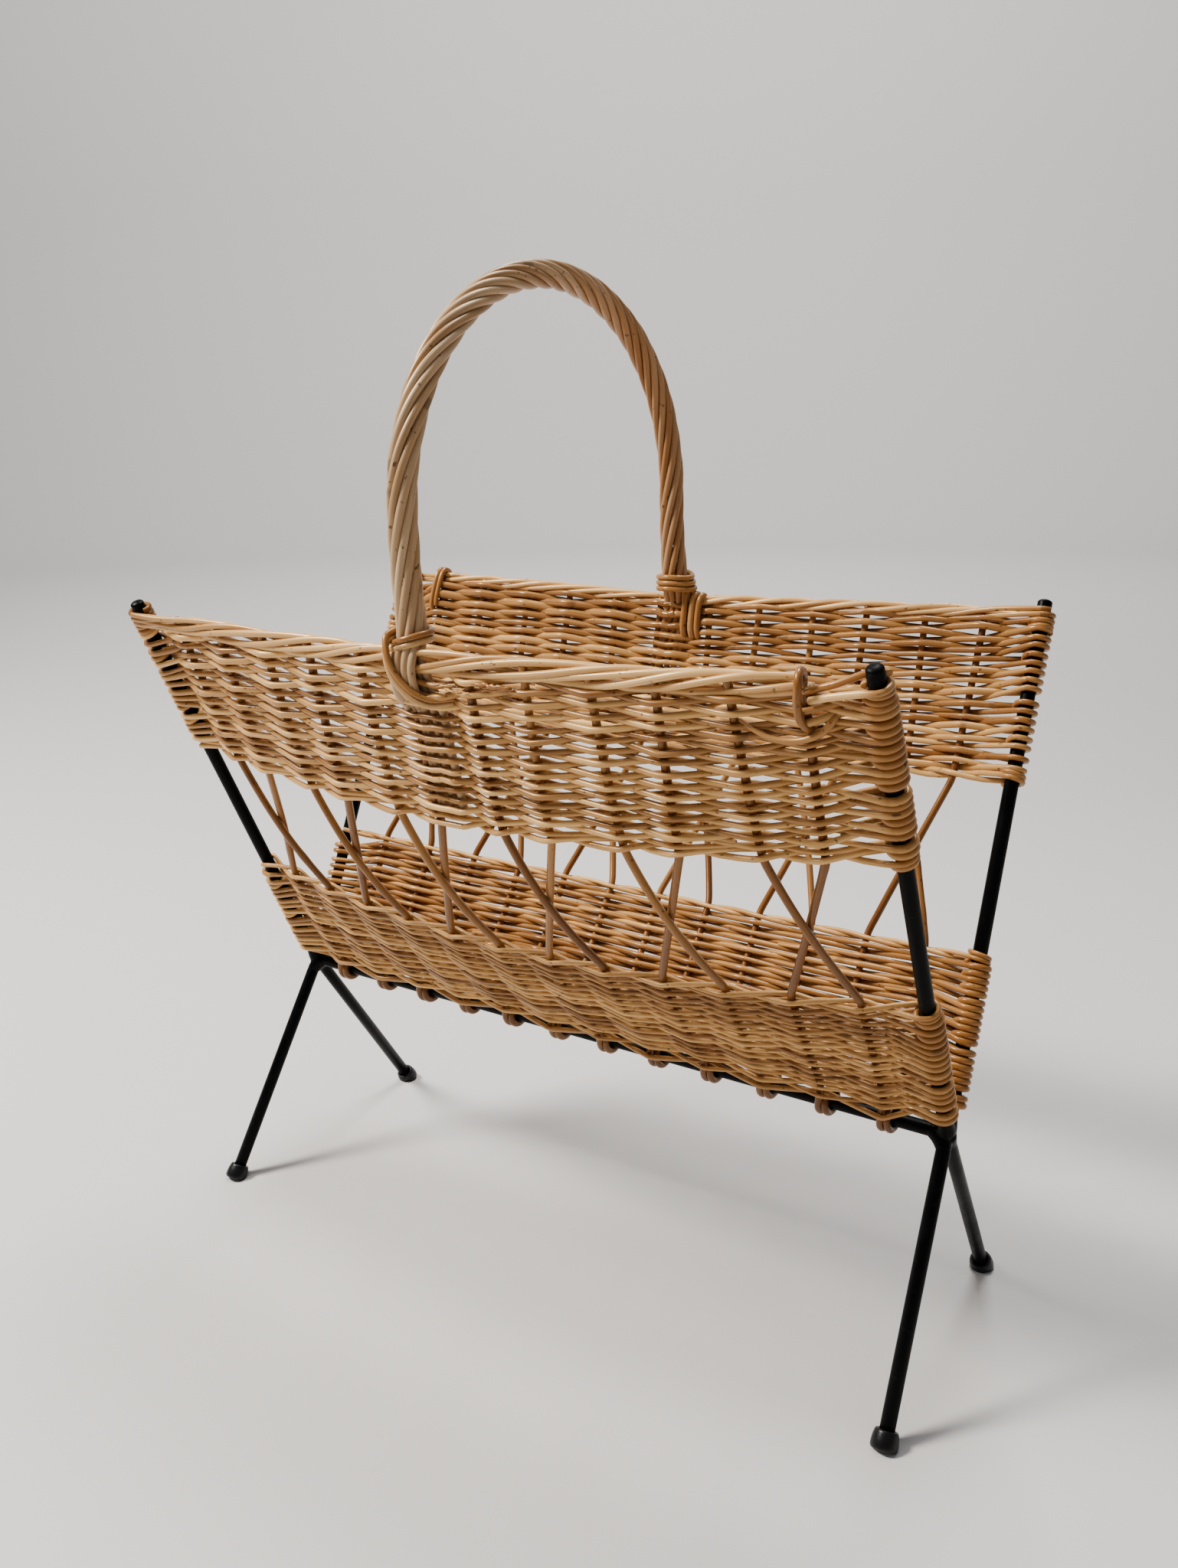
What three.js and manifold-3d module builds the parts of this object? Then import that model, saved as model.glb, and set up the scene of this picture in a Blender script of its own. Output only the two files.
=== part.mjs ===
// Magazine basket: two woven willow panels in a V on a welded black rod frame, with a roped handle.
// Millimetres, +Z up. X runs along the rail, the front panel is towards -Y, and the origin is on the
// floor, midway between the four feet.

import * as THREE from 'three';
import { mergeVertices } from 'three/addons/utils/BufferGeometryUtils.js';
import Module from 'manifold-3d';

const wasm = await Module();
wasm.setup();

// Frame
const rodDiameter = 8;
const railLength = 460;
const railBendRadius = 14;
const jointHeight = 133;
const postTopDraw = 3;
const postTopWidth = 246;
const frontFootFlare = 10;
const rearFootDraw = 12;
const footWidth = 175;

// Foot caps
const capLength = 14.5;
const capTopDiameter = 12.6;
const capBottomDiameter = 14;
const capBottomThickness = 3.5;
const capEdgeRound = 1.2;
const capWornDepth = 1.2;

// Woven bands, measured along the posts
const rimDrop = 6;
const borderDiameter = 9;
const upperBandHeight = 89;
const openZoneHeight = 94;
const lowerBandHeight = 84.6;
const railStandoff = 12;
const bandThickness = 8;
const webThickness = 5;
const wrapThickness = 3;
const coursePitch = 19;
const courseRelief = 2;
const courseFlatShare = 0.76;
const edgeEase = 1;

// Belly of a panel: how far its middle stands out of the plane of its posts
const middleBulge = 25;
const rimBulge = 6;
const rimSag = 2;

// Stakes
const stakeDiameter = 4;
const pairCount = 6;
const endPairInset = 50;
const lowerPairHalf = 18;
const waistPairHalf = 15;
const rimPairHalf = 17.5;
const crossingGap = 0.5;
const socketDepth = 8;

// Turns of stake round the rail
const railTurnGap = 0.5;
const railTurnLead = 18;

// Handle
const handleDiameter = 16;
const handleInset = 4.6;
const handleLegLength = 70;
const handleFrontPlace = -22;
const handleRearPlace = -8;
const handleStrandCount = 6;
const handleStrandDepth = 1.1;
const handleLay = 150;
const handleTailLength = 26;
const handleTailWidth = 15;
const handleTailThickness = 5;

// Bindings and rim loops
const binderDiameter = 3.4;
const binderTurnGap = 0.5;
const bindingLift = 16;
const frontBindingTurns = 2;
const rearBindingTurns = 3;
const bindingTailReach = 30;
const bindingTailDrop = 30;
const loopDepth = 24;
const loopEase = 0.6;
const frontLoopInset = 34;
const frontLoopTurns = 2;
const rearLeftLoopInset = 30;
const rearLeftLoopTurns = 2;
const rearMiddleLoopOffset = 16;
const rearMiddleLoopTurns = 3;

// Clearances
const clearance = 0.3;
const overrun = 5;

// How finely round things are cut
const rodSides = 12;
const stakeSides = 6;
const turnSides = 5;
const bendStep = Math.PI / 12;

const FRONT = -1;
const REAR = 1;
const LEFT = -1;
const RIGHT = 1;
const faceName = { [FRONT]: 'front', [REAR]: 'rear' };
const endName = { [LEFT]: 'left', [RIGHT]: 'right' };

const rodRadius = rodDiameter / 2;
const stakeRadius = stakeDiameter / 2;
const binderRadius = binderDiameter / 2;
const borderRadius = borderDiameter / 2;
const bandHalf = bandThickness / 2;
const webHalf = webThickness / 2;
const sleeveRadius = rodRadius + clearance + wrapThickness;

const zonesHeight = lowerBandHeight + openZoneHeight + upperBandHeight;
const postLength = railStandoff + zonesHeight + clearance + borderDiameter + rimDrop;
const postReach = postTopWidth / 2;
const postRise = Math.sqrt(postLength ** 2 - postReach ** 2);
const postTopHeight = jointHeight + postRise;
const rise = postRise / postLength;
const lean = postReach / postLength;

const rimHeight = postLength - rimDrop - borderRadius;
const upperBandTop = rimHeight - borderRadius - clearance;
const upperBandBottom = upperBandTop - upperBandHeight;
const lowerBandTop = upperBandBottom - openZoneHeight;
const lowerBandBottom = railStandoff;

const postTopSpan = railLength - postTopDraw;
const frontFootSpan = railLength + frontFootFlare;
const rearFootSpan = frontFootSpan - rearFootDraw;
const pairPitch = (railLength - endPairInset * 2) / (pairCount - 1);

const { lerp, clamp } = THREE.MathUtils;

// Materials
function paint(color, roughness, metalness) {
  return new THREE.MeshStandardMaterial({ color, roughness, metalness });
}
const blackSteel = () => paint(0x16171b, 0.42, 0.35);
const blackRubber = () => paint(0x1a1a1b, 0.8, 0);
const paleWillow = () => paint(0xcfa566, 0.62, 0);
const brownWillow = () => paint(0x9c6736, 0.6, 0);

// Solids to and from the joining and cutting library
function solidOf(geometry) {
  const bare = geometry.clone();
  bare.deleteAttribute('normal');
  bare.deleteAttribute('uv');
  const merged = mergeVertices(bare);
  return new wasm.Manifold(new wasm.Mesh({
    numProp: 3,
    vertProperties: new Float32Array(merged.attributes.position.array),
    triVerts: new Uint32Array(merged.index.array),
  }));
}

function geometryOf(solid) {
  const mesh = solid.getMesh();
  const geometry = new THREE.BufferGeometry();
  geometry.setAttribute('position', new THREE.BufferAttribute(mesh.vertProperties, 3));
  geometry.setIndex(new THREE.BufferAttribute(mesh.triVerts, 1));
  return geometry;
}

// A solid with the given shapes taken away from it
function without(geometry, cutters) {
  return geometryOf(cutters.reduce((rest, cutter) => rest.subtract(solidOf(cutter)), solidOf(geometry)));
}

function joined(geometries) {
  const [first, ...others] = geometries.map(solidOf);
  return geometryOf(others.reduce((whole, other) => whole.add(other), first));
}

// A curve that takes its places from a formula of one parameter, 0 to 1
class FormulaCurve extends THREE.Curve {
  constructor(place) {
    super();
    this.place = place;
  }

  getPoint(t) {
    return this.place(t);
  }
}

// A curve with a ring at each given station, however far apart the stations lie
class StationCurve extends THREE.Curve {
  constructor(stations) {
    super();
    this.stations = stations;
  }

  getPointAt(t) {
    const spot = t * (this.stations.length - 1);
    const before = Math.min(Math.floor(spot), this.stations.length - 2);
    return this.stations[before].clone().lerp(this.stations[before + 1], spot - before);
  }

  getTangentAt(t) {
    const here = Math.round(t * (this.stations.length - 1));
    const ahead = this.stations[Math.min(here + 1, this.stations.length - 1)];
    const behind = this.stations[Math.max(here - 1, 0)];
    const onward = ahead.clone().sub(this.stations[here]).normalize();
    const inward = this.stations[here].clone().sub(behind).normalize();
    return onward.add(inward).normalize();
  }
}

function roundSection(radius, sides) {
  const points = [];
  for (let corner = 0; corner < sides; corner += 1) {
    const angle = (corner / sides) * Math.PI * 2;
    points.push(new THREE.Vector2(radius * Math.cos(angle), radius * Math.sin(angle)));
  }
  return new THREE.Shape(points);
}

function tubeAlong(curve, radius, sides, steps) {
  return new THREE.ExtrudeGeometry(roundSection(radius, sides), {
    extrudePath: curve, steps, bevelEnabled: false,
  });
}

function tubeThrough(stations, radius, sides) {
  return tubeAlong(new StationCurve(stations), radius, sides, stations.length - 1);
}

// Stations of a bent rod: straight between its corners, with an arc of the bend radius at each
function bentStations(corners, bendRadius) {
  const stations = [corners[0]];
  for (let i = 1; i < corners.length - 1; i += 1) {
    const back = corners[i - 1].clone().sub(corners[i]).normalize();
    const forth = corners[i + 1].clone().sub(corners[i]).normalize();
    const half = back.angleTo(forth) / 2;
    const middle = back.clone().add(forth).normalize();
    const centre = corners[i].clone().addScaledVector(middle, bendRadius / Math.sin(half));
    const from = corners[i].clone().addScaledVector(back, bendRadius / Math.tan(half)).sub(centre);
    const to = corners[i].clone().addScaledVector(forth, bendRadius / Math.tan(half)).sub(centre);
    const axis = from.clone().cross(to).normalize();
    const turn = from.angleTo(to);
    const steps = Math.ceil(turn / bendStep);
    for (let step = 0; step <= steps; step += 1) {
      stations.push(from.clone().applyAxisAngle(axis, (turn * step) / steps).add(centre));
    }
  }
  stations.push(corners[corners.length - 1]);
  return stations;
}

// A closed skin over rings of as many points each, in order along a path, with a flat cap at each end
function loftRings(rings) {
  const positions = [];
  const indices = [];
  const around = rings[0].length;
  rings.forEach((ring) => ring.forEach((point) => positions.push(point.x, point.y, point.z)));
  for (let r = 0; r < rings.length - 1; r += 1) {
    for (let k = 0; k < around; k += 1) {
      const a = r * around + k;
      const b = r * around + ((k + 1) % around);
      indices.push(a, b, b + around, a, b + around, a + around);
    }
  }
  const last = (rings.length - 1) * around;
  for (let k = 1; k < around - 1; k += 1) {
    indices.push(0, k + 1, k);
    indices.push(last, last + k, last + k + 1);
  }
  const geometry = new THREE.BufferGeometry();
  geometry.setAttribute('position', new THREE.BufferAttribute(new Float32Array(positions), 3));
  geometry.setIndex(indices);
  return geometry;
}

// The frame
const joint = (end) => new THREE.Vector3((end * railLength) / 2, 0, jointHeight);
const postTop = (face, end) => new THREE.Vector3(
  (end * postTopSpan) / 2, face * postReach, postTopHeight,
);
const footPoint = (face, end) => new THREE.Vector3(
  (end * (face === FRONT ? frontFootSpan : rearFootSpan)) / 2, (face * footWidth) / 2, 0,
);
const legDirection = (face, end) => footPoint(face, end).sub(joint(end)).normalize();

// Where the bottom of a foot cap meets the axis of its leg
function capSole(face, end) {
  const direction = legDirection(face, end);
  const tilt = Math.acos(-direction.z);
  const soleHeight = (capBottomDiameter / 2) * Math.sin(tilt) - capWornDepth;
  return footPoint(face, end).addScaledVector(direction, -soleHeight / Math.cos(tilt));
}

function legEnd(face, end) {
  return capSole(face, end).addScaledVector(legDirection(face, end), -(capBottomThickness + clearance));
}

function railStations() {
  const corners = [legEnd(FRONT, LEFT), joint(LEFT), joint(RIGHT), legEnd(FRONT, RIGHT)];
  return bentStations(corners, railBendRadius);
}

const railAndFrontLegs = (grow = 0) => tubeThrough(railStations(), rodRadius + grow, rodSides);

function longRod(end, grow = 0) {
  const stations = bentStations([postTop(FRONT, end), joint(end), legEnd(REAR, end)], railBendRadius);
  return tubeThrough(stations, rodRadius + grow, rodSides);
}

function rearPost(end, grow = 0) {
  return tubeThrough([postTop(REAR, end), joint(end)], rodRadius + grow, rodSides);
}

// The room that a post needs in the weave, from the rail's axis to past the post's top
function postCutter(face, end) {
  const past = postTop(face, end).sub(joint(end)).setLength(overrun);
  const top = postTop(face, end).add(past);
  return tubeThrough([top, joint(end)], rodRadius + clearance, rodSides);
}

function footCap(face, end) {
  const bore = (rodRadius + clearance) / Math.cos(Math.PI / rodSides);
  const top = capTopDiameter / 2;
  const bottom = capBottomDiameter / 2;
  const profile = [
    new THREE.Vector2(0, 0),
    new THREE.Vector2(bottom - capEdgeRound, 0),
    new THREE.Vector2(bottom, capEdgeRound),
    new THREE.Vector2(top, capLength - capEdgeRound),
    new THREE.Vector2(top - capEdgeRound, capLength),
    new THREE.Vector2(bore, capLength),
    new THREE.Vector2(bore, capBottomThickness),
    new THREE.Vector2(0, capBottomThickness),
  ];
  const cap = new THREE.LatheGeometry(profile, rodSides);
  const upward = legDirection(face, end).negate();
  cap.applyQuaternion(new THREE.Quaternion().setFromUnitVectors(new THREE.Vector3(0, 1, 0), upward));
  const sole = capSole(face, end);
  cap.translate(sole.x, sole.y, sole.z);
  const floor = new THREE.BoxGeometry(capLength * 2, capLength * 2, capLength);
  floor.translate(sole.x, sole.y, -capLength / 2);
  return without(cap, [floor]);
}

// The panels

// A place on a panel: share runs from -0.5 to 0.5 along the rail, height along the posts from the
// rail's axis, and out stands off the middle of the weave, away from the magazines.
function panelPoint(face, share, height, out = 0) {
  const up = height / postLength;
  const belly = 1 - (2 * share) ** 2;
  const bulge = (middleBulge * Math.sin(Math.PI * up) + rimBulge * up) * belly + out;
  const sag = rimSag * up * belly;
  return new THREE.Vector3(
    share * lerp(railLength, postTopSpan, up),
    face * (lean * height + rise * bulge - lean * sag),
    jointHeight + rise * height - lean * bulge - rise * sag,
  );
}

// How far a stake stands beside the middle of its pair at a height, 1 for the stake that leans to
// the right on its way down and -1 for the other.
function stakeOffset(way, height) {
  if (height <= lowerBandTop) return way * lowerPairHalf;
  if (height >= upperBandBottom) {
    const climb = (height - upperBandBottom) / upperBandHeight;
    return -way * lerp(waistPairHalf, rimPairHalf, clamp(climb, 0, 1));
  }
  const climb = (height - lowerBandTop) / openZoneHeight;
  return way * lerp(lowerPairHalf, -waistPairHalf, climb);
}

const pairPlace = (pair) => (pair - (pairCount - 1) / 2) * pairPitch;
const stakeShare = (pair, way, height) => (pairPlace(pair) + stakeOffset(way, height)) / railLength;

// The stakes of both leans, in their order along the panel at the given height
function stakeSharesAt(height) {
  const shares = [];
  for (let pair = 0; pair < pairCount; pair += 1) {
    shares.push(stakeShare(pair, 1, height), stakeShare(pair, -1, height));
  }
  return shares.sort((a, b) => a - b);
}

// Levels of a band's surface, from its bottom to its top. Along an open edge the band is thick, for
// the ends that it holds. Between these edges it is woven in courses, each with a flat.
function bandLevels(bottom, top, lowEdge, highEdge) {
  const low = bottom + lowEdge;
  const high = top - highEdge;
  const courses = Math.round((high - low) / coursePitch);
  const levels = [{ height: bottom, course: null }];
  if (lowEdge > 0) levels.push({ height: low, course: null });
  for (let course = 0; course < courses; course += 1) {
    for (const side of [-1, 1]) {
      const along = (course + (1 + side * courseFlatShare) / 2) / courses;
      levels.push({ height: lerp(low, high, along), course });
    }
  }
  if (highEdge > 0) levels.push({ height: high, course: null });
  levels.push({ height: top, course: null });
  return levels;
}

const upperLevels = bandLevels(upperBandBottom, upperBandTop, socketDepth + edgeEase, 0);
const lowerLevels = bandLevels(
  lowerBandBottom, lowerBandTop, railTurnLead - railStandoff + edgeEase, socketDepth + edgeEase,
);

// How far a band's surfaces stand out of its middle at an upright: each course passes outside one
// stake and inside the next, and so does the course above it, the other way about.
function bandDepths(course, upright, last) {
  if (upright === 0 || upright === last) return [webHalf, -webHalf];
  if (course === null) return [bandHalf, -bandHalf];
  const back = bandHalf - courseRelief;
  return (course + upright) % 2 === 0 ? [bandHalf, -back] : [back, -bandHalf];
}

// A woven band as one shell, with a column of its surface on each post and stake
function bandSlab(face, bandLevelList, grow = 0) {
  const rows = bandLevelList.length - 1;
  const levels = bandLevelList.map(({ height, course }, row) => {
    const reach = grow * ((row === rows) - (row === 0));
    const uprights = [-0.5, ...stakeSharesAt(height), 0.5];
    return uprights.map((share, upright) => (
      bandDepths(course, upright, uprights.length - 1).map((out) => (
        panelPoint(face, share, height + reach, out + Math.sign(out) * grow)
      ))
    ));
  });
  const positions = levels.flat(2).flatMap((point) => point.toArray());
  const columns = levels[0].length;
  const indices = [];
  const outer = (row, column) => (row * columns + column) * 2;
  const inner = (row, column) => outer(row, column) + 1;
  const quad = (a, b, c, d) => {
    if (face === FRONT) indices.push(a, b, c, a, c, d);
    else indices.push(a, c, b, a, d, c);
  };
  const end = columns - 1;
  for (let row = 0; row < rows; row += 1) {
    const up = row + 1;
    for (let column = 0; column < end; column += 1) {
      const next = column + 1;
      quad(outer(row, column), outer(row, next), outer(up, next), outer(up, column));
      quad(inner(row, column), inner(up, column), inner(up, next), inner(row, next));
    }
    quad(inner(row, 0), outer(row, 0), outer(up, 0), inner(up, 0));
    quad(outer(row, end), inner(row, end), inner(up, end), outer(up, end));
  }
  for (let column = 0; column < end; column += 1) {
    const next = column + 1;
    quad(inner(0, column), inner(0, next), outer(0, next), outer(0, column));
    quad(outer(rows, column), outer(rows, next), inner(rows, next), inner(rows, column));
  }
  const geometry = new THREE.BufferGeometry();
  geometry.setAttribute('position', new THREE.BufferAttribute(new Float32Array(positions), 3));
  geometry.setIndex(indices);
  return geometry;
}

// The weavers' turns round a post, between two heights along it
function postSleeve(face, end, bottom, top, radius = sleeveRadius) {
  const up = postTop(face, end).sub(joint(end)).normalize();
  const low = joint(end).addScaledVector(up, bottom);
  const high = joint(end).addScaledVector(up, top);
  return tubeThrough([low, high], radius, rodSides);
}

// Below this height the turns round the front and rear posts would run into each other
const sleeveStart = (sleeveRadius * rise + clearance / 2) / lean;

function wovenBand(face, levels, cutters) {
  const foot = Math.max(levels[0].height, sleeveStart);
  const top = levels[levels.length - 1].height;
  const sleeves = [LEFT, RIGHT].map((end) => postSleeve(face, end, foot, top));
  const whole = joined([bandSlab(face, levels), ...sleeves]);
  return without(whole, [postCutter(face, LEFT), postCutter(face, RIGHT), ...cutters]);
}

// A twisted tube: rings of lobes, one lobe for each strand, turning once in each length of lay
function ropeRings(stations, tangents, halfSizes, strands, depth, lay) {
  const rings = [];
  let run = 0;
  stations.forEach((centre, i) => {
    if (i > 0) run += centre.distanceTo(stations[i - 1]);
    const tangent = tangents[i];
    const flat = halfSizes[i].flat.clone();
    const across = flat.addScaledVector(tangent, -flat.dot(tangent)).normalize();
    const deep = tangent.clone().cross(across).normalize();
    const ring = [];
    const points = strands * 2;
    for (let k = 0; k < points; k += 1) {
      const angle = (k / points) * Math.PI * 2 + (run / lay) * Math.PI * 2;
      const dip = k % 2 === 0 ? 0 : depth;
      ring.push(centre.clone()
        .addScaledVector(across, (halfSizes[i].wide - dip) * Math.cos(angle))
        .addScaledVector(deep, (halfSizes[i].deep - dip) * Math.sin(angle)));
    }
    rings.push(ring);
  });
  return rings;
}

function tangentsOf(stations) {
  return stations.map((here, i) => {
    const ahead = stations[Math.min(i + 1, stations.length - 1)];
    const behind = stations[Math.max(i - 1, 0)];
    return ahead.clone().sub(behind).normalize();
  });
}

// The rim border: three willow rods twisted along the top edge, with a turn round each post
const borderSteps = 64;
const borderStrands = 3;
const borderStrandDepth = 1.2;
const borderLay = 66;

function borderRope(face, grow = 0) {
  const stations = [];
  for (let step = 0; step <= borderSteps; step += 1) {
    stations.push(panelPoint(face, step / borderSteps - 0.5, rimHeight));
  }
  const size = { wide: borderRadius + grow, deep: borderRadius + grow, flat: new THREE.Vector3(0, 0, 1) };
  const sizes = stations.map(() => size);
  return loftRings(ropeRings(
    stations, tangentsOf(stations), sizes, borderStrands, borderStrandDepth, borderLay,
  ));
}

function rimBorder(face) {
  const low = rimHeight - borderRadius;
  const high = rimHeight + borderRadius;
  const turns = [LEFT, RIGHT].map((end) => postSleeve(face, end, low, high));
  return without(joined([borderRope(face), ...turns]), [postCutter(face, LEFT), postCutter(face, RIGHT)]);
}

const openStakeSteps = 6;

// A stake in the open zone, with an end seated in each band. Partners pass each other where they
// cross, one outside and one inside.
function openStake(face, pair, way, grow = 0) {
  const low = lowerBandTop - socketDepth - grow;
  const high = upperBandBottom + socketDepth + grow;
  const passing = (stakeDiameter + crossingGap) / 2;
  const curve = new FormulaCurve((t) => {
    const height = lerp(low, high, t);
    const share = stakeShare(pair, way, height);
    return panelPoint(face, share, height, way * passing * Math.sin(Math.PI * t));
  });
  return tubeAlong(curve, stakeRadius + grow, stakeSides, openStakeSteps);
}

// Each stake goes round the rail on its way from the front panel to the rear one: once right round,
// and then on up into the rear band beside its first turn.
const railTurnRadius = rodRadius + clearance + stakeRadius;
const railTurnPitch = stakeDiameter + railTurnGap;
const railTurnSteps = 13;
const railLeadSteps = 3;

function railTurn(pair, way, grow = 0) {
  const place = pairPlace(pair) + stakeOffset(way, 0);
  const start = Math.asin(lean);
  const finish = Math.PI * 3 - start;
  const drift = (railTurnPitch * (finish - start)) / (Math.PI * 2);
  const stations = [];
  const lead = (face, t) => {
    const height = lerp(railTurnLead + grow, 0, t);
    const out = (railTurnRadius * (1 - Math.cos(Math.PI * (1 - height / railTurnLead)))) / 2;
    const point = panelPoint(face, place / railLength, height, out);
    point.x += (face * drift * (1 - height / railTurnLead)) / 2;
    return point;
  };
  for (let step = 0; step < railLeadSteps; step += 1) {
    stations.push(lead(FRONT, step / railLeadSteps));
  }
  for (let step = 0; step <= railTurnSteps; step += 1) {
    const along = step / railTurnSteps;
    const angle = lerp(start, finish, along);
    stations.push(new THREE.Vector3(
      place + drift * (along - 0.5),
      -railTurnRadius * Math.cos(angle),
      jointHeight - railTurnRadius * Math.sin(angle),
    ));
  }
  for (let step = railLeadSteps - 1; step >= 0; step -= 1) {
    stations.push(lead(REAR, step / railLeadSteps));
  }
  return tubeThrough(stations, stakeRadius + grow, turnSides);
}

// The handle: straight legs that rise from both rims into half a circle. Each foot is drawn flat,
// passes outside the rim border and ends in the weave below it.
const rimMiddle = panelPoint(REAR, 0, rimHeight);
const handleArchRadius = rimMiddle.y - handleInset;
const handleArchHeight = rimMiddle.z + handleLegLength;
const handleSteps = 36;
const handleLegSteps = 7;
const handlePlace = (face) => (face === FRONT ? handleFrontPlace : handleRearPlace);
const tailHalf = handleTailThickness / 2;

// Heights of the rings along a straight leg, from its foot to just short of the arch
function legHeights(foot) {
  const heights = [];
  for (let step = 0; step < handleLegSteps; step += 1) {
    heights.push(lerp(foot, handleArchHeight, step / handleLegSteps));
  }
  return heights;
}

function handleFoot(face) {
  const place = handlePlace(face);
  const share = place / railLength;
  const tail = {
    wide: handleTailWidth / 2, deep: tailHalf, flat: new THREE.Vector3(1, 0, 0),
  };
  const full = {
    wide: handleDiameter / 2, deep: handleDiameter / 2, flat: new THREE.Vector3(1, 0, 0),
  };
  const half = { wide: (tail.wide + full.wide) / 2, deep: (tail.deep + full.deep) / 2, flat: tail.flat };
  const outside = bandHalf + clearance + tailHalf;
  const rim = panelPoint(face, share, rimHeight);
  const leg = (z) => new THREE.Vector3(place, face * handleArchRadius, z);
  const pastRim = panelPoint(face, share, rimHeight, borderRadius + clearance + tailHalf);
  const shoulder = leg(rim.z + handleDiameter / 2 + borderRadius).lerp(pastRim, 0.5);
  return [
    { centre: panelPoint(face, share, rimHeight - handleTailLength), ...tail },
    { centre: panelPoint(face, share, rimHeight - handleTailLength + outside, outside), ...tail },
    { centre: panelPoint(face, share, rimHeight - borderDiameter, outside), ...tail },
    { centre: pastRim, ...tail },
    { centre: shoulder, ...half },
    ...legHeights(rim.z + handleDiameter).map((z) => ({ centre: leg(z), ...full })),
  ];
}

function handleStations() {
  const front = handleFoot(FRONT);
  const rear = handleFoot(REAR).reverse();
  const full = front[front.length - 1];
  const arch = [];
  for (let step = 0; step <= handleSteps; step += 1) {
    const turn = (step / handleSteps) * Math.PI;
    const centre = new THREE.Vector3(
      lerp(handleFrontPlace, handleRearPlace, (1 - Math.cos(turn)) / 2),
      -handleArchRadius * Math.cos(turn),
      handleArchHeight + handleArchRadius * Math.sin(turn),
    );
    arch.push({ ...full, centre });
  }
  return [...front, ...arch, ...rear];
}

function handleRope(grow = 0) {
  const parts = handleStations();
  const stations = parts.map((part) => part.centre);
  const sizes = parts.map((part) => ({ ...part, wide: part.wide + grow, deep: part.deep + grow }));
  return loftRings(ropeRings(
    stations, tangentsOf(stations), sizes, handleStrandCount, handleStrandDepth, handleLay,
  ));
}

// Turns of a thin rod round a foot of the handle, just above the rim
const binderSides = 6;
const binderStepsPerTurn = 10;

function bindingRadii(face) {
  const reach = clearance + binderRadius;
  return { wide: handleDiameter / 2 + reach, deep: handleDiameter / 2 + reach };
}

function bindingCoil(face, turns) {
  const place = handlePlace(face);
  const rim = panelPoint(face, place / railLength, rimHeight);
  const { wide, deep } = bindingRadii(face);
  const stations = [];
  const steps = turns * binderStepsPerTurn;
  for (let step = 0; step <= steps; step += 1) {
    const angle = (step / binderStepsPerTurn) * Math.PI * 2;
    stations.push(new THREE.Vector3(
      place - wide * Math.cos(angle),
      face * (handleArchRadius - deep * Math.sin(angle)),
      rim.z + bindingLift + (binderDiameter + binderTurnGap) * (turns - step / binderStepsPerTurn),
    ));
  }
  return stations;
}

// The front binding ends in a tail that crosses the weave to the right and tucks in below the rim
function frontBinding() {
  const stations = bindingCoil(FRONT, frontBindingTurns);
  const start = handleFrontPlace - handleDiameter / 2 - clearance - binderRadius;
  const clearOf = bandHalf + clearance * 2 + handleTailThickness + binderRadius;
  const tailSteps = 5;
  for (let step = 1; step <= tailSteps; step += 1) {
    const along = step / tailSteps;
    const share = (start + bindingTailReach * along) / railLength;
    const height = rimHeight + lerp(borderDiameter, -bindingTailDrop, along);
    const out = step === tailSteps ? 0 : clearOf;
    stations.push(panelPoint(FRONT, share, height, out));
  }
  return tubeThrough(stations, binderRadius, binderSides);
}

// Hoops of thin rod over the rim: each turn goes round the border and through the weave below it
function rimLoop(face, place, turns, grow = 0) {
  const gap = loopEase + binderRadius;
  const top = rimHeight + borderRadius + gap;
  const low = rimHeight - loopDepth;
  const halfDeep = Math.max(borderRadius, bandHalf) + gap;
  const pitch = binderDiameter + binderTurnGap;
  const middle = (top + low) / 2;
  const halfTall = (top - low) / 2;
  const stations = [];
  const steps = Math.round((turns - 0.5) * binderStepsPerTurn);
  for (let step = 0; step <= steps; step += 1) {
    const angle = (step / binderStepsPerTurn) * Math.PI * 2 - Math.PI / 2;
    const round = (value) => Math.sign(value) * Math.abs(value) ** 0.5;
    const x = place + pitch * (step / binderStepsPerTurn - (turns - 0.5) / 2);
    const height = middle + halfTall * round(Math.sin(angle));
    stations.push(panelPoint(face, x / railLength, height, halfDeep * round(Math.cos(angle))));
  }
  return tubeThrough(stations, binderRadius + grow, binderSides);
}

// The whole basket

const basket = new THREE.Group();

function addPiece(name, geometry, material) {
  geometry.computeVertexNormals();
  const mesh = new THREE.Mesh(geometry, material);
  mesh.name = name;
  basket.add(mesh);
}

const two = (number) => String(number).padStart(2, '0');

function addFrame() {
  addPiece('rail_and_front_legs', railAndFrontLegs(), blackSteel());
  for (const end of [LEFT, RIGHT]) {
    const rail = railAndFrontLegs(clearance);
    addPiece(`${endName[end]}_front_post_rear_leg`, without(longRod(end), [rail]), blackSteel());
    const seats = [rail, longRod(end, clearance)];
    addPiece(`${endName[end]}_rear_post`, without(rearPost(end), seats), blackSteel());
    for (const face of [FRONT, REAR]) {
      addPiece(`${faceName[face]}_${endName[end]}_foot_cap`, footCap(face, end), blackRubber());
    }
  }
}

const rimLoops = [
  {
    name: 'front_rim_loop',
    face: FRONT,
    place: railLength / 2 - frontLoopInset,
    turns: frontLoopTurns,
  },
  {
    name: 'rear_left_rim_loop',
    face: REAR,
    place: rearLeftLoopInset - railLength / 2,
    turns: rearLeftLoopTurns,
  },
  {
    name: 'rear_middle_rim_loop',
    face: REAR,
    place: handleRearPlace + rearMiddleLoopOffset,
    turns: rearMiddleLoopTurns,
  },
];

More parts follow.
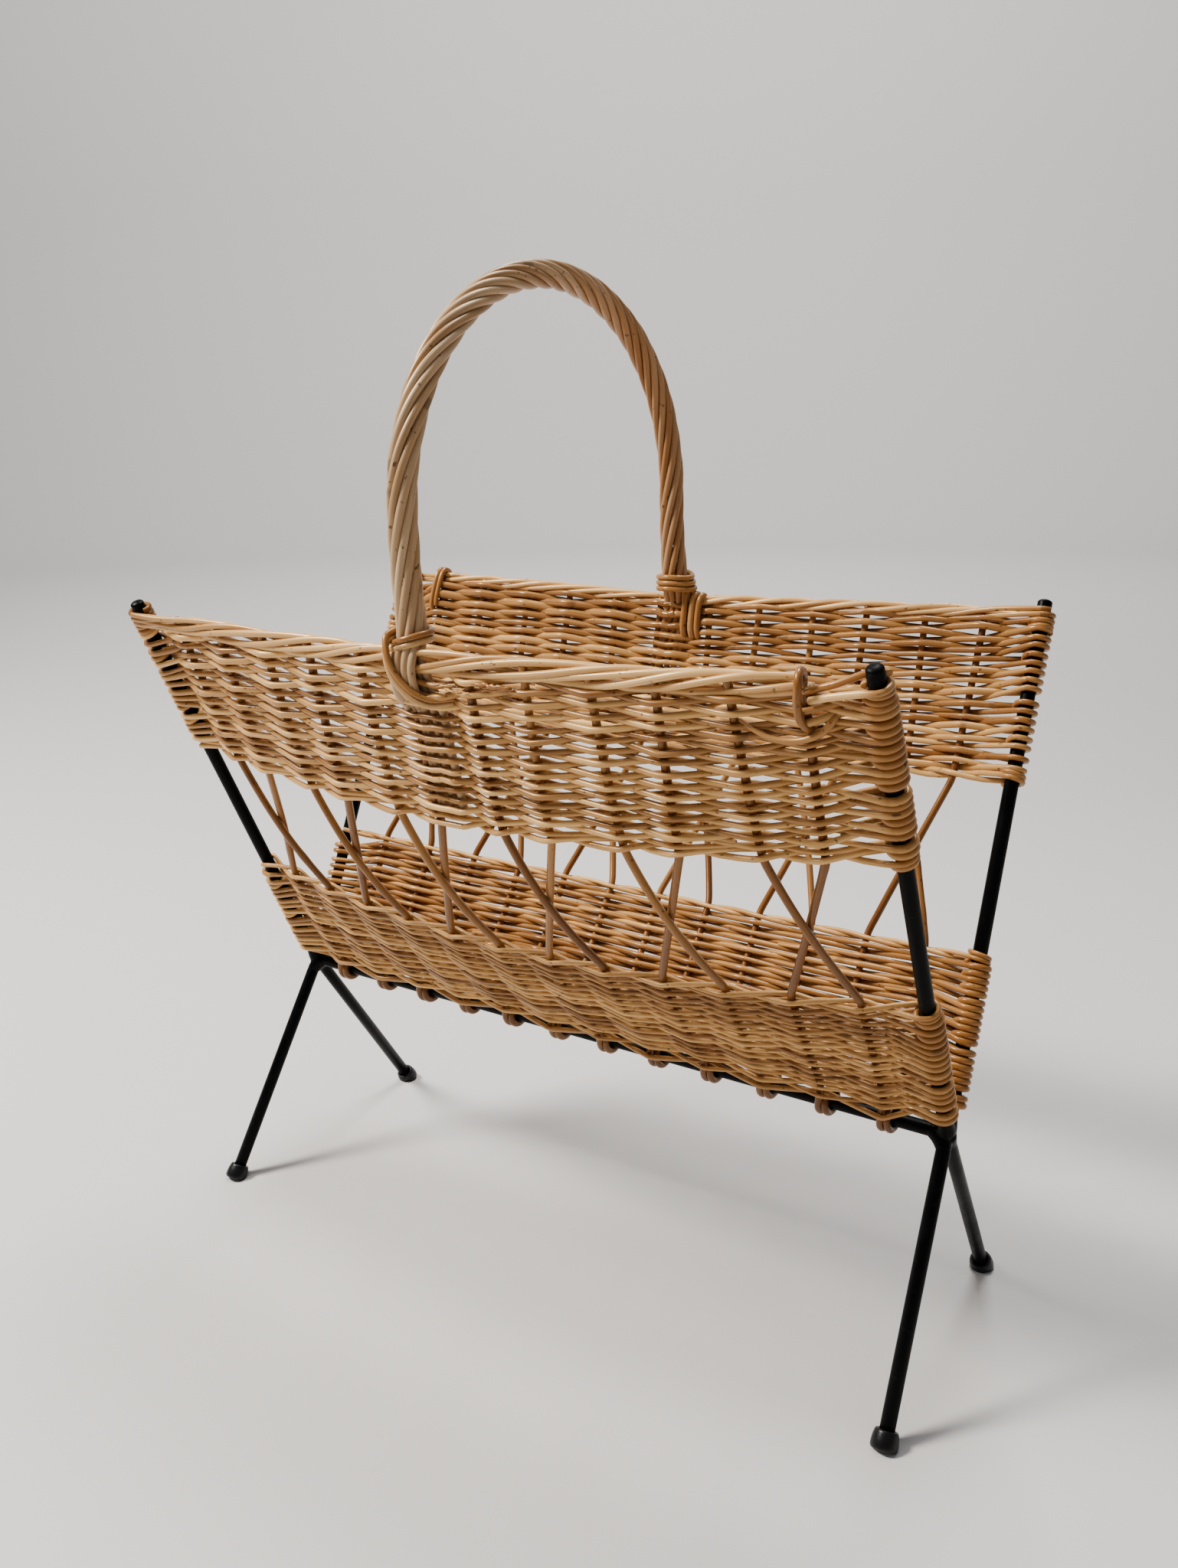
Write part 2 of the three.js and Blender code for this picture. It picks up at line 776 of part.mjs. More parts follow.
function addPanels() {
  for (const face of [FRONT, REAR]) {
    const openCuts = [];
    const railCuts = [];
    let count = 0;
    for (let pair = 0; pair < pairCount; pair += 1) {
      for (const way of [1, -1]) {
        count += 1;
        openCuts.push(openStake(face, pair, way, clearance));
        railCuts.push(railTurn(pair, way, clearance));
        addPiece(`${faceName[face]}_stake_${two(count)}`, openStake(face, pair, way), brownWillow());
      }
    }
    const loopCuts = rimLoops.filter((loop) => loop.face === face)
      .map((loop) => rimLoop(face, loop.place, loop.turns, clearance));
    const upper = wovenBand(face, upperLevels, [...openCuts, ...loopCuts]);
    const lower = wovenBand(face, lowerLevels, [...openCuts, ...railCuts]);
    addPiece(`${faceName[face]}_upper_band`, upper, paleWillow());
    addPiece(`${faceName[face]}_lower_band`, lower, paleWillow());
    addPiece(`${faceName[face]}_rim_border`, rimBorder(face), paleWillow());
  }
}

function addRailTurns() {
  let count = 0;
  for (let pair = 0; pair < pairCount; pair += 1) {
    for (const way of [-1, 1]) {
      count += 1;
      addPiece(`rail_turn_${two(count)}`, railTurn(pair, way), brownWillow());
    }
  }
}

function addHandle() {
  const seats = [FRONT, REAR].flatMap((face) => [
    borderRope(face, clearance),
    bandSlab(face, upperLevels, clearance),
  ]);
  addPiece('handle', without(handleRope(), seats), paleWillow());
  const upperFront = bandSlab(FRONT, upperLevels, clearance);
  const handleCut = handleRope(clearance);
  addPiece('front_handle_binding', without(frontBinding(), [upperFront, handleCut]), paleWillow());
  const rearCoil = tubeThrough(bindingCoil(REAR, rearBindingTurns), binderRadius, binderSides);
  addPiece('rear_handle_binding', without(rearCoil, [handleCut]), paleWillow());
  for (const { name, face, place, turns } of rimLoops) {
    addPiece(name, rimLoop(face, place, turns), paleWillow());
  }
}

addFrame();
addPanels();
addRailTurns();
addHandle();

export default basket;
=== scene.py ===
"""A willow magazine basket on a black steel frame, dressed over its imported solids.

Two leaning panels meet above a rail. Each has an upper and a lower woven band, an open zone where
its stakes cross, and a twisted rim. A roped handle joins the two rims. All lengths are metres in
the frame of the solids: x along the rail, y from the front panel to the rear one, z upwards.
"""
import logging
import math
from dataclasses import dataclass, field
from enum import IntEnum
from typing import Iterator, Sequence

import bpy
import numpy as np
from mathutils import Matrix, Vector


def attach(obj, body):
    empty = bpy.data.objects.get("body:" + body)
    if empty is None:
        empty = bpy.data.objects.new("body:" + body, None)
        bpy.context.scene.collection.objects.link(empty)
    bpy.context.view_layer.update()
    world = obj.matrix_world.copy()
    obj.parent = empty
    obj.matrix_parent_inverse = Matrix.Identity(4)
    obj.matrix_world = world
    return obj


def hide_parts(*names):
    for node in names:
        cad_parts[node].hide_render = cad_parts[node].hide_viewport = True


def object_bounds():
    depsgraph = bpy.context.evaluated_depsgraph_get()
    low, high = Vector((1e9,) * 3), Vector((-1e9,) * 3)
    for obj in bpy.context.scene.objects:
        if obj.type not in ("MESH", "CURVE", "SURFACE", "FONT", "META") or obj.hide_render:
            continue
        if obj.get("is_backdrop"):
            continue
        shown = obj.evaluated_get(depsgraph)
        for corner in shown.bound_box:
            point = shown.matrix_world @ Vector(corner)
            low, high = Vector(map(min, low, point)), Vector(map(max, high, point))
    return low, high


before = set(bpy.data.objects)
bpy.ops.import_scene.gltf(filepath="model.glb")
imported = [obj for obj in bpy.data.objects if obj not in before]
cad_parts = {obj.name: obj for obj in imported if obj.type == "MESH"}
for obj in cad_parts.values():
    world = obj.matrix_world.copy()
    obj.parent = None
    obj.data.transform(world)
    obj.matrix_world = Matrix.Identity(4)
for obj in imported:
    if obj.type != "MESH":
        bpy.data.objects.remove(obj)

logging.basicConfig(level=logging.INFO, format="%(name)s: %(message)s")
LOG = logging.getLogger("basket")

SOLIDS_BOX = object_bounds()
ROOT_BODY = "root"
FULL_TURN = 2 * math.pi
HALF_TURN = math.pi
QUARTER_TURN = math.pi / 2
X_AXIS = np.array([1.0, 0.0, 0.0])
Y_AXIS = np.array([0.0, 1.0, 0.0])
Z_AXIS = np.array([0.0, 0.0, 1.0])


class Side(IntEnum):
    """A panel of the basket, with the sign of its place along y."""

    FRONT = -1
    REAR = 1


class End(IntEnum):
    """An end of the rail, with the sign of its place along x."""

    LEFT = -1
    RIGHT = 1


class Way(IntEnum):
    """Which way a stake leans on its way down: to the right or to the left."""

    RIGHTWARD = 1
    LEFTWARD = -1


# Sums over arrays that several pieces use


def smooth(values: np.ndarray) -> np.ndarray:
    """Ease from 0 to 1: three times the square less twice the cube, of the clamped value."""
    held = np.clip(values, 0.0, 1.0)
    return held * held * (3.0 - 2.0 * held)


def mix(low: np.ndarray | float, high: np.ndarray | float, share: np.ndarray | float) -> np.ndarray:
    """Straight blend: low plus the share of the step from low to high."""
    return low + (high - low) * share


def unit(vectors: np.ndarray) -> np.ndarray:
    """Each vector divided by its own length."""
    return vectors / np.linalg.norm(vectors, axis=-1, keepdims=True)


def run_along(path: np.ndarray) -> np.ndarray:
    """Length walked at each point: the running sum of the distances between neighbours."""
    steps = np.linalg.norm(np.diff(path, axis=0), axis=1)
    return np.concatenate([[0.0], np.cumsum(steps)])


def respaced(path: np.ndarray, spacing: float) -> np.ndarray:
    """Walk a path in even steps.

    Args:
        path: Points along the path.
        spacing: About how far apart the new points stand.

    Returns:
        Points read off the path at equal lengths, straight between its own points.
    """
    walked = run_along(path)
    count = max(int(round(walked[-1] / spacing)), 2)
    even = np.linspace(0.0, walked[-1], count + 1)
    return np.stack([np.interp(even, walked, path[:, axis]) for axis in range(3)], axis=1)


def softened(path: np.ndarray, passes: int) -> np.ndarray:
    """Round off the corners of a path: each inner point moves to the mean of itself and neighbours."""
    points = path.copy()
    for _ in range(passes):
        points[1:-1] = 0.25 * points[:-2] + 0.5 * points[1:-1] + 0.25 * points[2:]
    return points


def kinked(share: np.ndarray, bend: np.ndarray) -> np.ndarray:
    """Go from 0 to 1 as a stiff rod does between two stakes.

    Args:
        share: Share of the way, from 0 to 1.
        bend: Share of the way that each rounded end takes.

    Returns:
        A straight line whose first and last stretch are parabolas that end level.
    """
    bend = np.clip(bend, 0.02, 0.48)
    leave = share**2 / (2 * bend * (1 - bend))
    meet = 1 - (1 - share) ** 2 / (2 * bend * (1 - bend))
    return np.where(share < bend, leave, np.where(share > 1 - bend, meet, (share - bend / 2) / (1 - bend)))


def domed(path: np.ndarray, radius: float, depth: float, first: bool, last: bool) -> tuple[np.ndarray, np.ndarray]:
    """Round off the ends of a rod.

    Args:
        path: Points along the middle of the rod.
        radius: Radius of the rod.
        depth: Length of each rounded end.
        first: Whether the first end is rounded.
        last: Whether the last end is rounded.

    Returns:
        The path with close stations at its rounded ends, and a radius at each point. There the
        station is depth times one less the sine from the end, and the radius goes with the cosine.
    """
    angle = np.linspace(0.0, 0.46 * np.pi, 8)[1:]
    back, small = depth * (1.0 - np.sin(angle)), radius * np.cos(angle)
    start, finish = unit(path[1] - path[0]), unit(path[-1] - path[-2])
    radii = np.full(len(path), radius)
    if first:
        head = path[0] + start * back[:, None]
        path = np.concatenate([head[::-1], [path[0] + start * depth], path[1:]])
        radii = np.concatenate([small[::-1], radii])
    if last:
        tail = path[-1] - finish * back[:, None]
        path = np.concatenate([path[:-1], [path[-1] - finish * depth], tail])
        radii = np.concatenate([radii, small])
    return path, radii


def bent(corners: Sequence[np.ndarray], radius: float, step: float) -> np.ndarray:
    """Bend a rod at its corners.

    Args:
        corners: The ends and the corners of its middle line.
        radius: Radius of each bend.
        step: Angle between stations along a bend.

    Returns:
        Points along the middle line. The centre of a bend lies from its corner towards the inside,
        by the radius over the sine of half the angle between the two runs.
    """
    parts = [corners[0][None, :]]
    for before, corner, after in zip(corners[:-2], corners[1:-1], corners[2:]):
        back, forth = unit(before - corner), unit(after - corner)
        half = math.acos(float(np.clip(np.dot(back, forth), -1.0, 1.0))) / 2
        centre = corner + unit(back + forth) * radius / math.sin(half)
        start = corner + back * radius / math.tan(half) - centre
        finish = corner + forth * radius / math.tan(half) - centre
        turn = math.pi - 2 * half
        share = np.linspace(0.0, 1.0, max(int(turn / step), 2) + 1)[:, None]
        arc = (np.sin((1 - share) * turn) * start + np.sin(share * turn) * finish) / math.sin(turn)
        parts.append(centre + arc)
    parts.append(corners[-1][None, :])
    return np.concatenate(parts)


# The form of the panels


@dataclass(frozen=True)
class PanelForm:
    """The leaning, slightly bellied surface that carries the weave, with the sizes of its zones."""

    side: Side
    rail_length: float = 0.460
    post_top_draw: float = 0.003
    post_top_width: float = 0.246
    joint_height: float = 0.133
    rod_diameter: float = 0.008
    rim_drop: float = 0.006
    border_diameter: float = 0.009
    upper_height: float = 0.089
    open_height: float = 0.094
    lower_height: float = 0.0846
    rail_standoff: float = 0.012
    clearance: float = 0.0003
    middle_bulge: float = 0.025
    rim_bulge: float = 0.006
    rim_sag: float = 0.002
    handle_dip: float = 0.0
    handle_place: float = -0.008
    handle_reach: float = 0.050
    end_rises: tuple[float, float] = (0.0, 0.0)
    turn_lead: float = 0.018
    pair_count: int = 6
    end_pair_inset: float = 0.050
    lower_half: float = 0.018
    waist_half: float = 0.015
    rim_half: float = 0.0175

    @property
    def post_length(self) -> float:
        """Length of a post from the joint to its top: the sum of the zones that it carries."""
        zones = self.lower_height + self.open_height + self.upper_height
        return self.rail_standoff + zones + self.clearance + self.border_diameter + self.rim_drop

    @property
    def lean(self) -> float:
        """Sideways part of a unit step up the post."""
        return self.post_top_width / 2 / self.post_length

    @property
    def rise(self) -> float:
        """Upward part of a unit step up the post."""
        return math.sqrt(1.0 - self.lean**2)

    @property
    def half_span(self) -> float:
        """Place of a post at the rail's height."""
        return self.rail_length / 2

    @property
    def rim(self) -> float:
        """Height of the middle of the rim border along the post."""
        return self.post_length - self.rim_drop - self.border_diameter / 2

    @property
    def upper_top(self) -> float:
        """Top of the upper band."""
        return self.rim - self.border_diameter / 2 - self.clearance

    @property
    def upper_bottom(self) -> float:
        """Bottom of the upper band."""
        return self.upper_top - self.upper_height

    @property
    def lower_top(self) -> float:
        """Top of the lower band."""
        return self.upper_bottom - self.open_height

    @property
    def lower_bottom(self) -> float:
        """Bottom of the lower band."""
        return self.rail_standoff

    @property
    def outward(self) -> np.ndarray:
        """Unit step away from the magazines, square to the plane of the posts."""
        return np.array([0.0, self.side * self.rise, -self.lean])

    @property
    def upward(self) -> np.ndarray:
        """Unit step up the panel."""
        return np.array([0.0, self.side * self.lean, self.rise])

    def point(
        self,
        place: np.ndarray | float,
        height: np.ndarray | float,
        out: np.ndarray | float = 0.0,
        flat: np.ndarray | float = 0.0,
    ) -> np.ndarray:
        """Find places on the panel.

        The belly is one less the square of twice the share of the rail. It carries the surface out
        by a half sine of the height plus a straight part, and lets the rim hang by a small sag. The
        handle draws the rim a little lower round its foot, by a bell curve of the distance to it. The
        weave rises to the posts by the square of twice the share.

        Args:
            place: Distance along the rail from its middle.
            height: Distance up the posts from the rail's axis.
            out: Distance outside the middle of the weave.
            flat: 1 where the point belongs to a post, whose line has no belly.

        Returns:
            An array of points, one row each.
        """
        place, height, out, flat = np.broadcast_arrays(
            np.asarray(place, float), np.asarray(height, float), np.asarray(out, float), np.asarray(flat, float)
        )
        share = place / self.rail_length
        up = height / self.post_length
        belly = (1.0 - (2.0 * share) ** 2) * (1.0 - flat)
        bulge = (self.middle_bulge * np.sin(np.pi * up) + self.rim_bulge * up) * belly + out
        drawn = self.handle_dip * np.exp(-(((place - self.handle_place) / self.handle_reach) ** 2))
        sag = (self.rim_sag * up + drawn * up**6) * belly
        sag = sag - np.where(share < 0, *self.end_rises) * up * (2.0 * share) ** 2
        return np.stack(
            [
                share * mix(self.rail_length, self.rail_length - self.post_top_draw, up),
                self.side * (self.lean * height + self.rise * bulge - self.lean * sag),
                self.joint_height + self.rise * height - self.lean * bulge - self.rise * sag,
            ],
            axis=-1,
        )

    def rail_shift(self, height: np.ndarray | float, radius: float) -> np.ndarray:
        """How far a stake stands out just above the rail, to go round it: half a cosine up to the lead."""
        near = np.clip(1.0 - np.asarray(height, float) / self.turn_lead, 0.0, 1.0)
        return radius * (1.0 - np.cos(np.pi * near)) / 2

    def pair_place(self, pair: int) -> float:
        """Place of the middle of a pair of stakes."""
        pitch = (self.rail_length - 2 * self.end_pair_inset) / (self.pair_count - 1)
        return (pair - (self.pair_count - 1) / 2) * pitch

    def stake_offset(self, way: Way, height: np.ndarray) -> np.ndarray:
        """Distance of a stake from the middle of its pair: level in the lower band, straight across
        the open zone, and slowly wider again up the upper band."""
        knots = [self.lower_top, self.upper_bottom, self.upper_top]
        offsets = [self.lower_half, -self.waist_half, -self.rim_half]
        return way * np.interp(height, knots, offsets)

    def stake_places(self, height: np.ndarray) -> np.ndarray:
        """Places of all stakes at the given heights, one row for each, in order along the rail."""
        rows = [
            self.pair_place(pair) + self.stake_offset(way, height)
            for pair in range(self.pair_count)
            for way in (Way.RIGHTWARD, Way.LEFTWARD)
        ]
        return np.sort(np.stack(rows), axis=0)


# Rods swept along paths, gathered into one mesh


class Bundle:
    """Rods that together make one piece."""

    def __init__(self, name: str) -> None:
        """Start an empty bundle for the piece of this name."""
        self.name = name
        self.points: list[np.ndarray] = []
        self.faces: list[np.ndarray] = []
        self.caps: list[list[int]] = []
        self.face_maps: list[np.ndarray] = []
        self.cap_maps: list[np.ndarray] = []
        self.tints: list[np.ndarray] = []
        self.wraps_and_painted_shade: list[np.ndarray] = []
        self.count = 0

    def add(
        self,
        path: np.ndarray,
        radius: np.ndarray | float,
        guide: np.ndarray,
        tint: float,
        wrap_and_painted_shade: np.ndarray | float = 0.0,
        sides: int = 8,
        start: float = 0.0,
    ) -> None:
        """Sweep one round rod along a path.

        At each point the ring is centre plus radius times (cosine of the angle times the first
        across vector, plus sine times the second). The first is the guide less its part along the
        path, the second is square to both. Both ends get a small chamfer and a flat cut.

        Args:
            path: Points along the middle of the rod.
            radius: Radius of the rod, one for all points or one for each.
            guide: A direction that is never along the path, one for all points or one for each.
            tint: Shade of this rod, from 0 to 1.
            wrap_and_painted_shade: How much each point darkens towards the dark colour, from 0 to 1: at turns round
                something, and as painted shade.
            sides: Points in a ring.
            start: Length at which the pattern of this rod begins.
        """
        along = unit(np.gradient(path, axis=0))
        radii = np.broadcast_to(np.asarray(radius, float), len(path)).copy()
        wraps_and_painted_shade = np.broadcast_to(np.asarray(wrap_and_painted_shade, float), len(path)).copy()
        guides = np.broadcast_to(guide, path.shape)
        guides = np.concatenate([guides[:1], guides, guides[-1:]])
        chamfer = 0.3
        first, last = path[0], path[-1]
        inner_first = first + along[0] * radii[0] * chamfer
        inner_last = last - along[-1] * radii[-1] * chamfer
        path = np.concatenate([[first, inner_first], path[1:-1], [inner_last, last]])
        along = np.concatenate([along[:1], along, along[-1:]])
        radii = np.concatenate([[radii[0] * (1 - chamfer)], radii, [radii[-1] * (1 - chamfer)]])
        wraps_and_painted_shade = np.concatenate([wraps_and_painted_shade[:1], wraps_and_painted_shade, wraps_and_painted_shade[-1:]])
        across = unit(guides - along * np.sum(guides * along, axis=1, keepdims=True))
        second = np.cross(along, across)
        angle = np.linspace(0.0, FULL_TURN, sides, endpoint=False)
        ring = (
            across[:, None, :] * np.cos(angle)[None, :, None]
            + second[:, None, :] * np.sin(angle)[None, :, None]
        )
        points = path[:, None, :] + ring * radii[:, None, None]
        rows = len(path)
        here = np.arange(rows - 1)[:, None] * sides + np.arange(sides)[None, :]
        beside = np.arange(rows - 1)[:, None] * sides + (np.arange(sides)[None, :] + 1) % sides
        faces = np.stack([here, beside, beside + sides, here + sides], axis=-1).reshape(-1, 4)
        walked = run_along(path) + start
        turn = np.arange(sides) / sides
        next_turn = turn + 1.0 / sides
        low_u = np.broadcast_to(walked[:-1, None], (rows - 1, sides))
        high_u = np.broadcast_to(walked[1:, None], (rows - 1, sides))
        low_v = np.broadcast_to(turn, (rows - 1, sides))
        high_v = np.broadcast_to(next_turn, (rows - 1, sides))
        corners = np.stack(
            [
                np.stack([low_u, low_v], axis=-1),
                np.stack([low_u, high_v], axis=-1),
                np.stack([high_u, high_v], axis=-1),
                np.stack([high_u, low_v], axis=-1),
            ],
            axis=2,
        )
        base = self.count
        self.points.append(points.reshape(-1, 3))
        self.faces.append(faces + base)
        self.face_maps.append(corners.reshape(-1, 2))
        self.caps.append([base + k for k in reversed(range(sides))])
        self.caps.append([base + (rows - 1) * sides + k for k in range(sides)])
        self.cap_maps.append(np.stack([np.full(sides, walked[0]), turn[::-1]], axis=-1))
        self.cap_maps.append(np.stack([np.full(sides, walked[-1]), turn], axis=-1))
        self.tints.append(np.full(rows * sides, tint))
        self.wraps_and_painted_shade.append(np.repeat(wraps_and_painted_shade, sides))
        self.count += rows * sides

    def build(self, material: bpy.types.Material) -> bpy.types.Object:
        """Put all rods of the bundle into one object.

        Args:
            material: The finish of the piece.

        Returns:
            The new object, at the origin, with its UV map, its tint attribute and its attribute of wraps and painted
            shade.
        """
        mesh = bpy.data.meshes.new(self.name)
        faces = np.concatenate(self.faces)
        mesh.from_pydata(np.concatenate(self.points).tolist(), [], faces.tolist() + self.caps)
        layer = mesh.uv_layers.new(name="rod")
        maps = np.concatenate(self.face_maps + self.cap_maps)
        layer.data.foreach_set("uv", maps.astype(np.float32).ravel())
        for name, values in (("tint", self.tints), ("wrap_and_painted_shade", self.wraps_and_painted_shade)):
            attribute = mesh.attributes.new(name=name, type="FLOAT", domain="POINT")
            attribute.data.foreach_set("value", np.concatenate(values).astype(np.float32))
        flags = np.concatenate([np.ones(len(faces), bool), np.zeros(len(self.caps), bool)])
        mesh.polygons.foreach_set("use_smooth", flags)
        mesh.update()
        mesh.materials.append(material)
        piece = bpy.data.objects.new(self.name, mesh)
        bpy.context.scene.collection.objects.link(piece)
        return piece


def settle(piece: bpy.types.Object, nodes: Sequence[str]) -> None:
    """Tie a finished piece to the frame.

    Args:
        piece: The dressed piece.
        nodes: The solids that it stands for.
    """
    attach(piece, ROOT_BODY)
    if nodes:
        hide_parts(*nodes)
    triangles = sum(len(face.vertices) - 2 for face in piece.data.polygons)
    LOG.info("%s stands for %d solids, %d triangles", piece.name, len(nodes), triangles)


# Finishes


class Nodes:
    """A short way to add and join shader nodes in one tree."""

    def __init__(self, tree: bpy.types.NodeTree) -> None:
        """Work in this tree."""
        self.tree = tree

    def add(self, kind: str, **settings: object) -> bpy.types.Node:
        """Add a node and set its properties."""
        node = self.tree.nodes.new(kind)
        for name, value in settings.items():
            setattr(node, name, value)
        return node

    def join(self, source: bpy.types.NodeSocket, target: bpy.types.NodeSocket) -> None:
        """Link an output to an input."""
        self.tree.links.new(source, target)

    def feed(self, target: bpy.types.NodeSocket, value: object) -> None:
        """Give an input a link when the value is a socket, and else a fixed value."""
        if isinstance(value, bpy.types.NodeSocket):
            self.join(value, target)
        else:
            target.default_value = value

    def math(self, operation: str, first: object, second: object = 0.0, clamp: bool = False) -> bpy.types.NodeSocket:
        """One sum of two values."""
        node = self.add("ShaderNodeMath", operation=operation, use_clamp=clamp)
        self.feed(node.inputs[0], first)
        self.feed(node.inputs[1], second)
        return node.outputs[0]

    def blend(self, mode: str, share: object, first: object, second: object) -> bpy.types.NodeSocket:
        """Blend two colours by a share."""
        node = self.add("ShaderNodeMix", data_type="RGBA", blend_type=mode)
        self.feed(node.inputs["Factor"], share)
        self.feed(node.inputs[6], first)
        self.feed(node.inputs[7], second)
        return node.outputs[2]

    def stretch(self, vector: object, scale: tuple[float, float, float], shift: object = None) -> bpy.types.NodeSocket:
        """Scale a vector, and shift it by another one."""
        node = self.add("ShaderNodeMapping")
        self.join(vector, node.inputs["Vector"])
        node.inputs["Scale"].default_value = scale
        if shift is not None:
            self.join(shift, node.inputs["Location"])
        return node.outputs[0]

    def noise(self, vector: object, scale: float, detail: float, roughness: float = 0.5) -> bpy.types.NodeSocket:
        """Soft noise between 0 and 1."""
        node = self.add("ShaderNodeTexNoise")
        self.join(vector, node.inputs["Vector"])
        node.inputs["Scale"].default_value = scale
        node.inputs["Detail"].default_value = detail
        node.inputs["Roughness"].default_value = roughness
        return node.outputs[0]

    def span(self, value: object, low: float, high: float, bottom: float = 0.0, top: float = 1.0) -> bpy.types.NodeSocket:
        """Carry a value from one span to another, held within it."""
        node = self.add("ShaderNodeMapRange")
        self.join(value, node.inputs["Value"])
        node.inputs["From Min"].default_value = low
        node.inputs["From Max"].default_value = high
        node.inputs["To Min"].default_value = bottom
        node.inputs["To Max"].default_value = top
        return node.outputs["Result"]


Colour = tuple[float, float, float, float]


def rod_grain_group() -> bpy.types.NodeTree:
    """Grain of a peeled willow rod, shared by all willow finishes.

    Streaks run along the rod, a slow drift changes its shade from length to length, scattered dark
    specks are its buds, and rare darker rings are its nodes.

    Returns:
        A group from a rod's own map and tint to streak, drift and speck masks and a height.
    """
    group = bpy.data.node_groups.new("rod_grain", "ShaderNodeTree")
    face = group.interface
    face.new_socket("Along", in_out="INPUT", socket_type="NodeSocketVector")
    face.new_socket("Tint", in_out="INPUT", socket_type="NodeSocketFloat")
    for name in ("Streak", "Drift", "Speck", "Height"):
        face.new_socket(name, in_out="OUTPUT", socket_type="NodeSocketFloat")
    nodes = Nodes(group)
    given = nodes.add("NodeGroupInput")
    shown = nodes.add("NodeGroupOutput")
    apart = nodes.add("ShaderNodeCombineXYZ")
    nodes.join(nodes.math("MULTIPLY", given.outputs["Tint"], 37.0), apart.inputs["Z"])
    streak = nodes.noise(nodes.stretch(given.outputs["Along"], (28.0, 7.0, 1.0), apart.outputs[0]), 1.0, 3.0, 0.6)
    drift = nodes.noise(nodes.stretch(given.outputs["Along"], (9.0, 0.6, 1.0), apart.outputs[0]), 1.0, 2.0)
    specks = nodes.noise(nodes.stretch(given.outputs["Along"], (310.0, 4.0, 1.0), apart.outputs[0]), 1.0, 1.0)
    rings = nodes.noise(nodes.stretch(given.outputs["Along"], (60.0, 0.2, 1.0), apart.outputs[0]), 1.0, 0.0)
    speck = nodes.span(specks, 0.70, 0.76)
    ring = nodes.span(rings, 0.76, 0.80)
    dark = nodes.math("MAXIMUM", speck, nodes.math("MULTIPLY", ring, 0.6))
    height = nodes.math("SUBTRACT", nodes.math("MULTIPLY", streak, 0.6), nodes.math("MULTIPLY", dark, 0.4))
    for name, value in (("Streak", streak), ("Drift", drift), ("Speck", dark), ("Height", height)):
        nodes.join(value, shown.inputs[name])
    return group


@dataclass(frozen=True)
class WillowFinish:
    """A peeled willow rod: its light, middle and deep shades and how glossy it is."""

    name: str
    light: Colour
    middle: Colour
    deep: Colour
    wrapped_and_painted_shade: Colour
    speck: Colour
    smoothest: float
    roughest: float
    relief: float
    gloss: float = 0.5
    sheen: Colour = (1.0, 0.80, 0.55, 1.0)

    def material(self, grain: bpy.types.NodeTree) -> bpy.types.Material:
        """Make the material.

        The shade is picked from three by the rod's own tint, moved by the drift and the streaks.
        Turns round something and painted shade lean to the dark wrapped shade, and specks darken all of them.

        Args:
            grain: The shared grain group.

        Returns:
            The finished material.
        """
        material = bpy.data.materials.new(self.name)
        material.use_nodes = True
        nodes = Nodes(material.node_tree)
        shader = material.node_tree.nodes["Principled BSDF"]
        rod_map = nodes.add("ShaderNodeUVMap", uv_map="rod")
        tint = nodes.add("ShaderNodeAttribute", attribute_name="tint")
        wrap_and_painted_shade = nodes.add("ShaderNodeAttribute", attribute_name="wrap_and_painted_shade")
        used = nodes.add("ShaderNodeGroup", node_tree=grain)
        nodes.join(rod_map.outputs[0], used.inputs["Along"])
        nodes.join(tint.outputs["Fac"], used.inputs["Tint"])
        drifted = nodes.math("MULTIPLY_ADD", used.outputs["Drift"], 0.9)
        drifted.node.inputs[2].default_value = -0.45
        shade = nodes.math("ADD", tint.outputs["Fac"], drifted)
        streaked = nodes.math("MULTIPLY_ADD", used.outputs["Streak"], 0.7)
        streaked.node.inputs[2].default_value = -0.35
        shade = nodes.math("ADD", shade, streaked, clamp=True)
        ramp = nodes.add("ShaderNodeValToRGB")
        ramp.color_ramp.elements[0].color = self.deep
        ramp.color_ramp.elements[1].color = self.light
        ramp.color_ramp.elements.new(0.5).color = self.middle
        nodes.join(shade, ramp.inputs[0])
        # Mix towards the dark colour of wraps and painted shade by that mask.
        wrapped_and_painted_shade = nodes.blend("MIX", nodes.math("MULTIPLY", wrap_and_painted_shade.outputs["Fac"], 0.8), ramp.outputs[0], self.wrapped_and_painted_shade)
        coloured = nodes.blend("MIX", nodes.math("MULTIPLY", used.outputs["Speck"], 0.75), wrapped_and_painted_shade, self.speck)
        nodes.join(coloured, shader.inputs["Base Color"])
        nodes.join(
            nodes.span(used.outputs["Streak"], 0.3, 0.7, self.smoothest, self.roughest), shader.inputs["Roughness"]
        )
        bump = nodes.add("ShaderNodeBump")
        bump.inputs["Strength"].default_value = 0.5
        bump.inputs["Distance"].default_value = self.relief
        nodes.join(used.outputs["Height"], bump.inputs["Height"])
        nodes.join(bump.outputs[0], shader.inputs["Normal"])
        shader.inputs["Specular IOR Level"].default_value = self.gloss
        shader.inputs["Specular Tint"].default_value = self.sheen
        return material


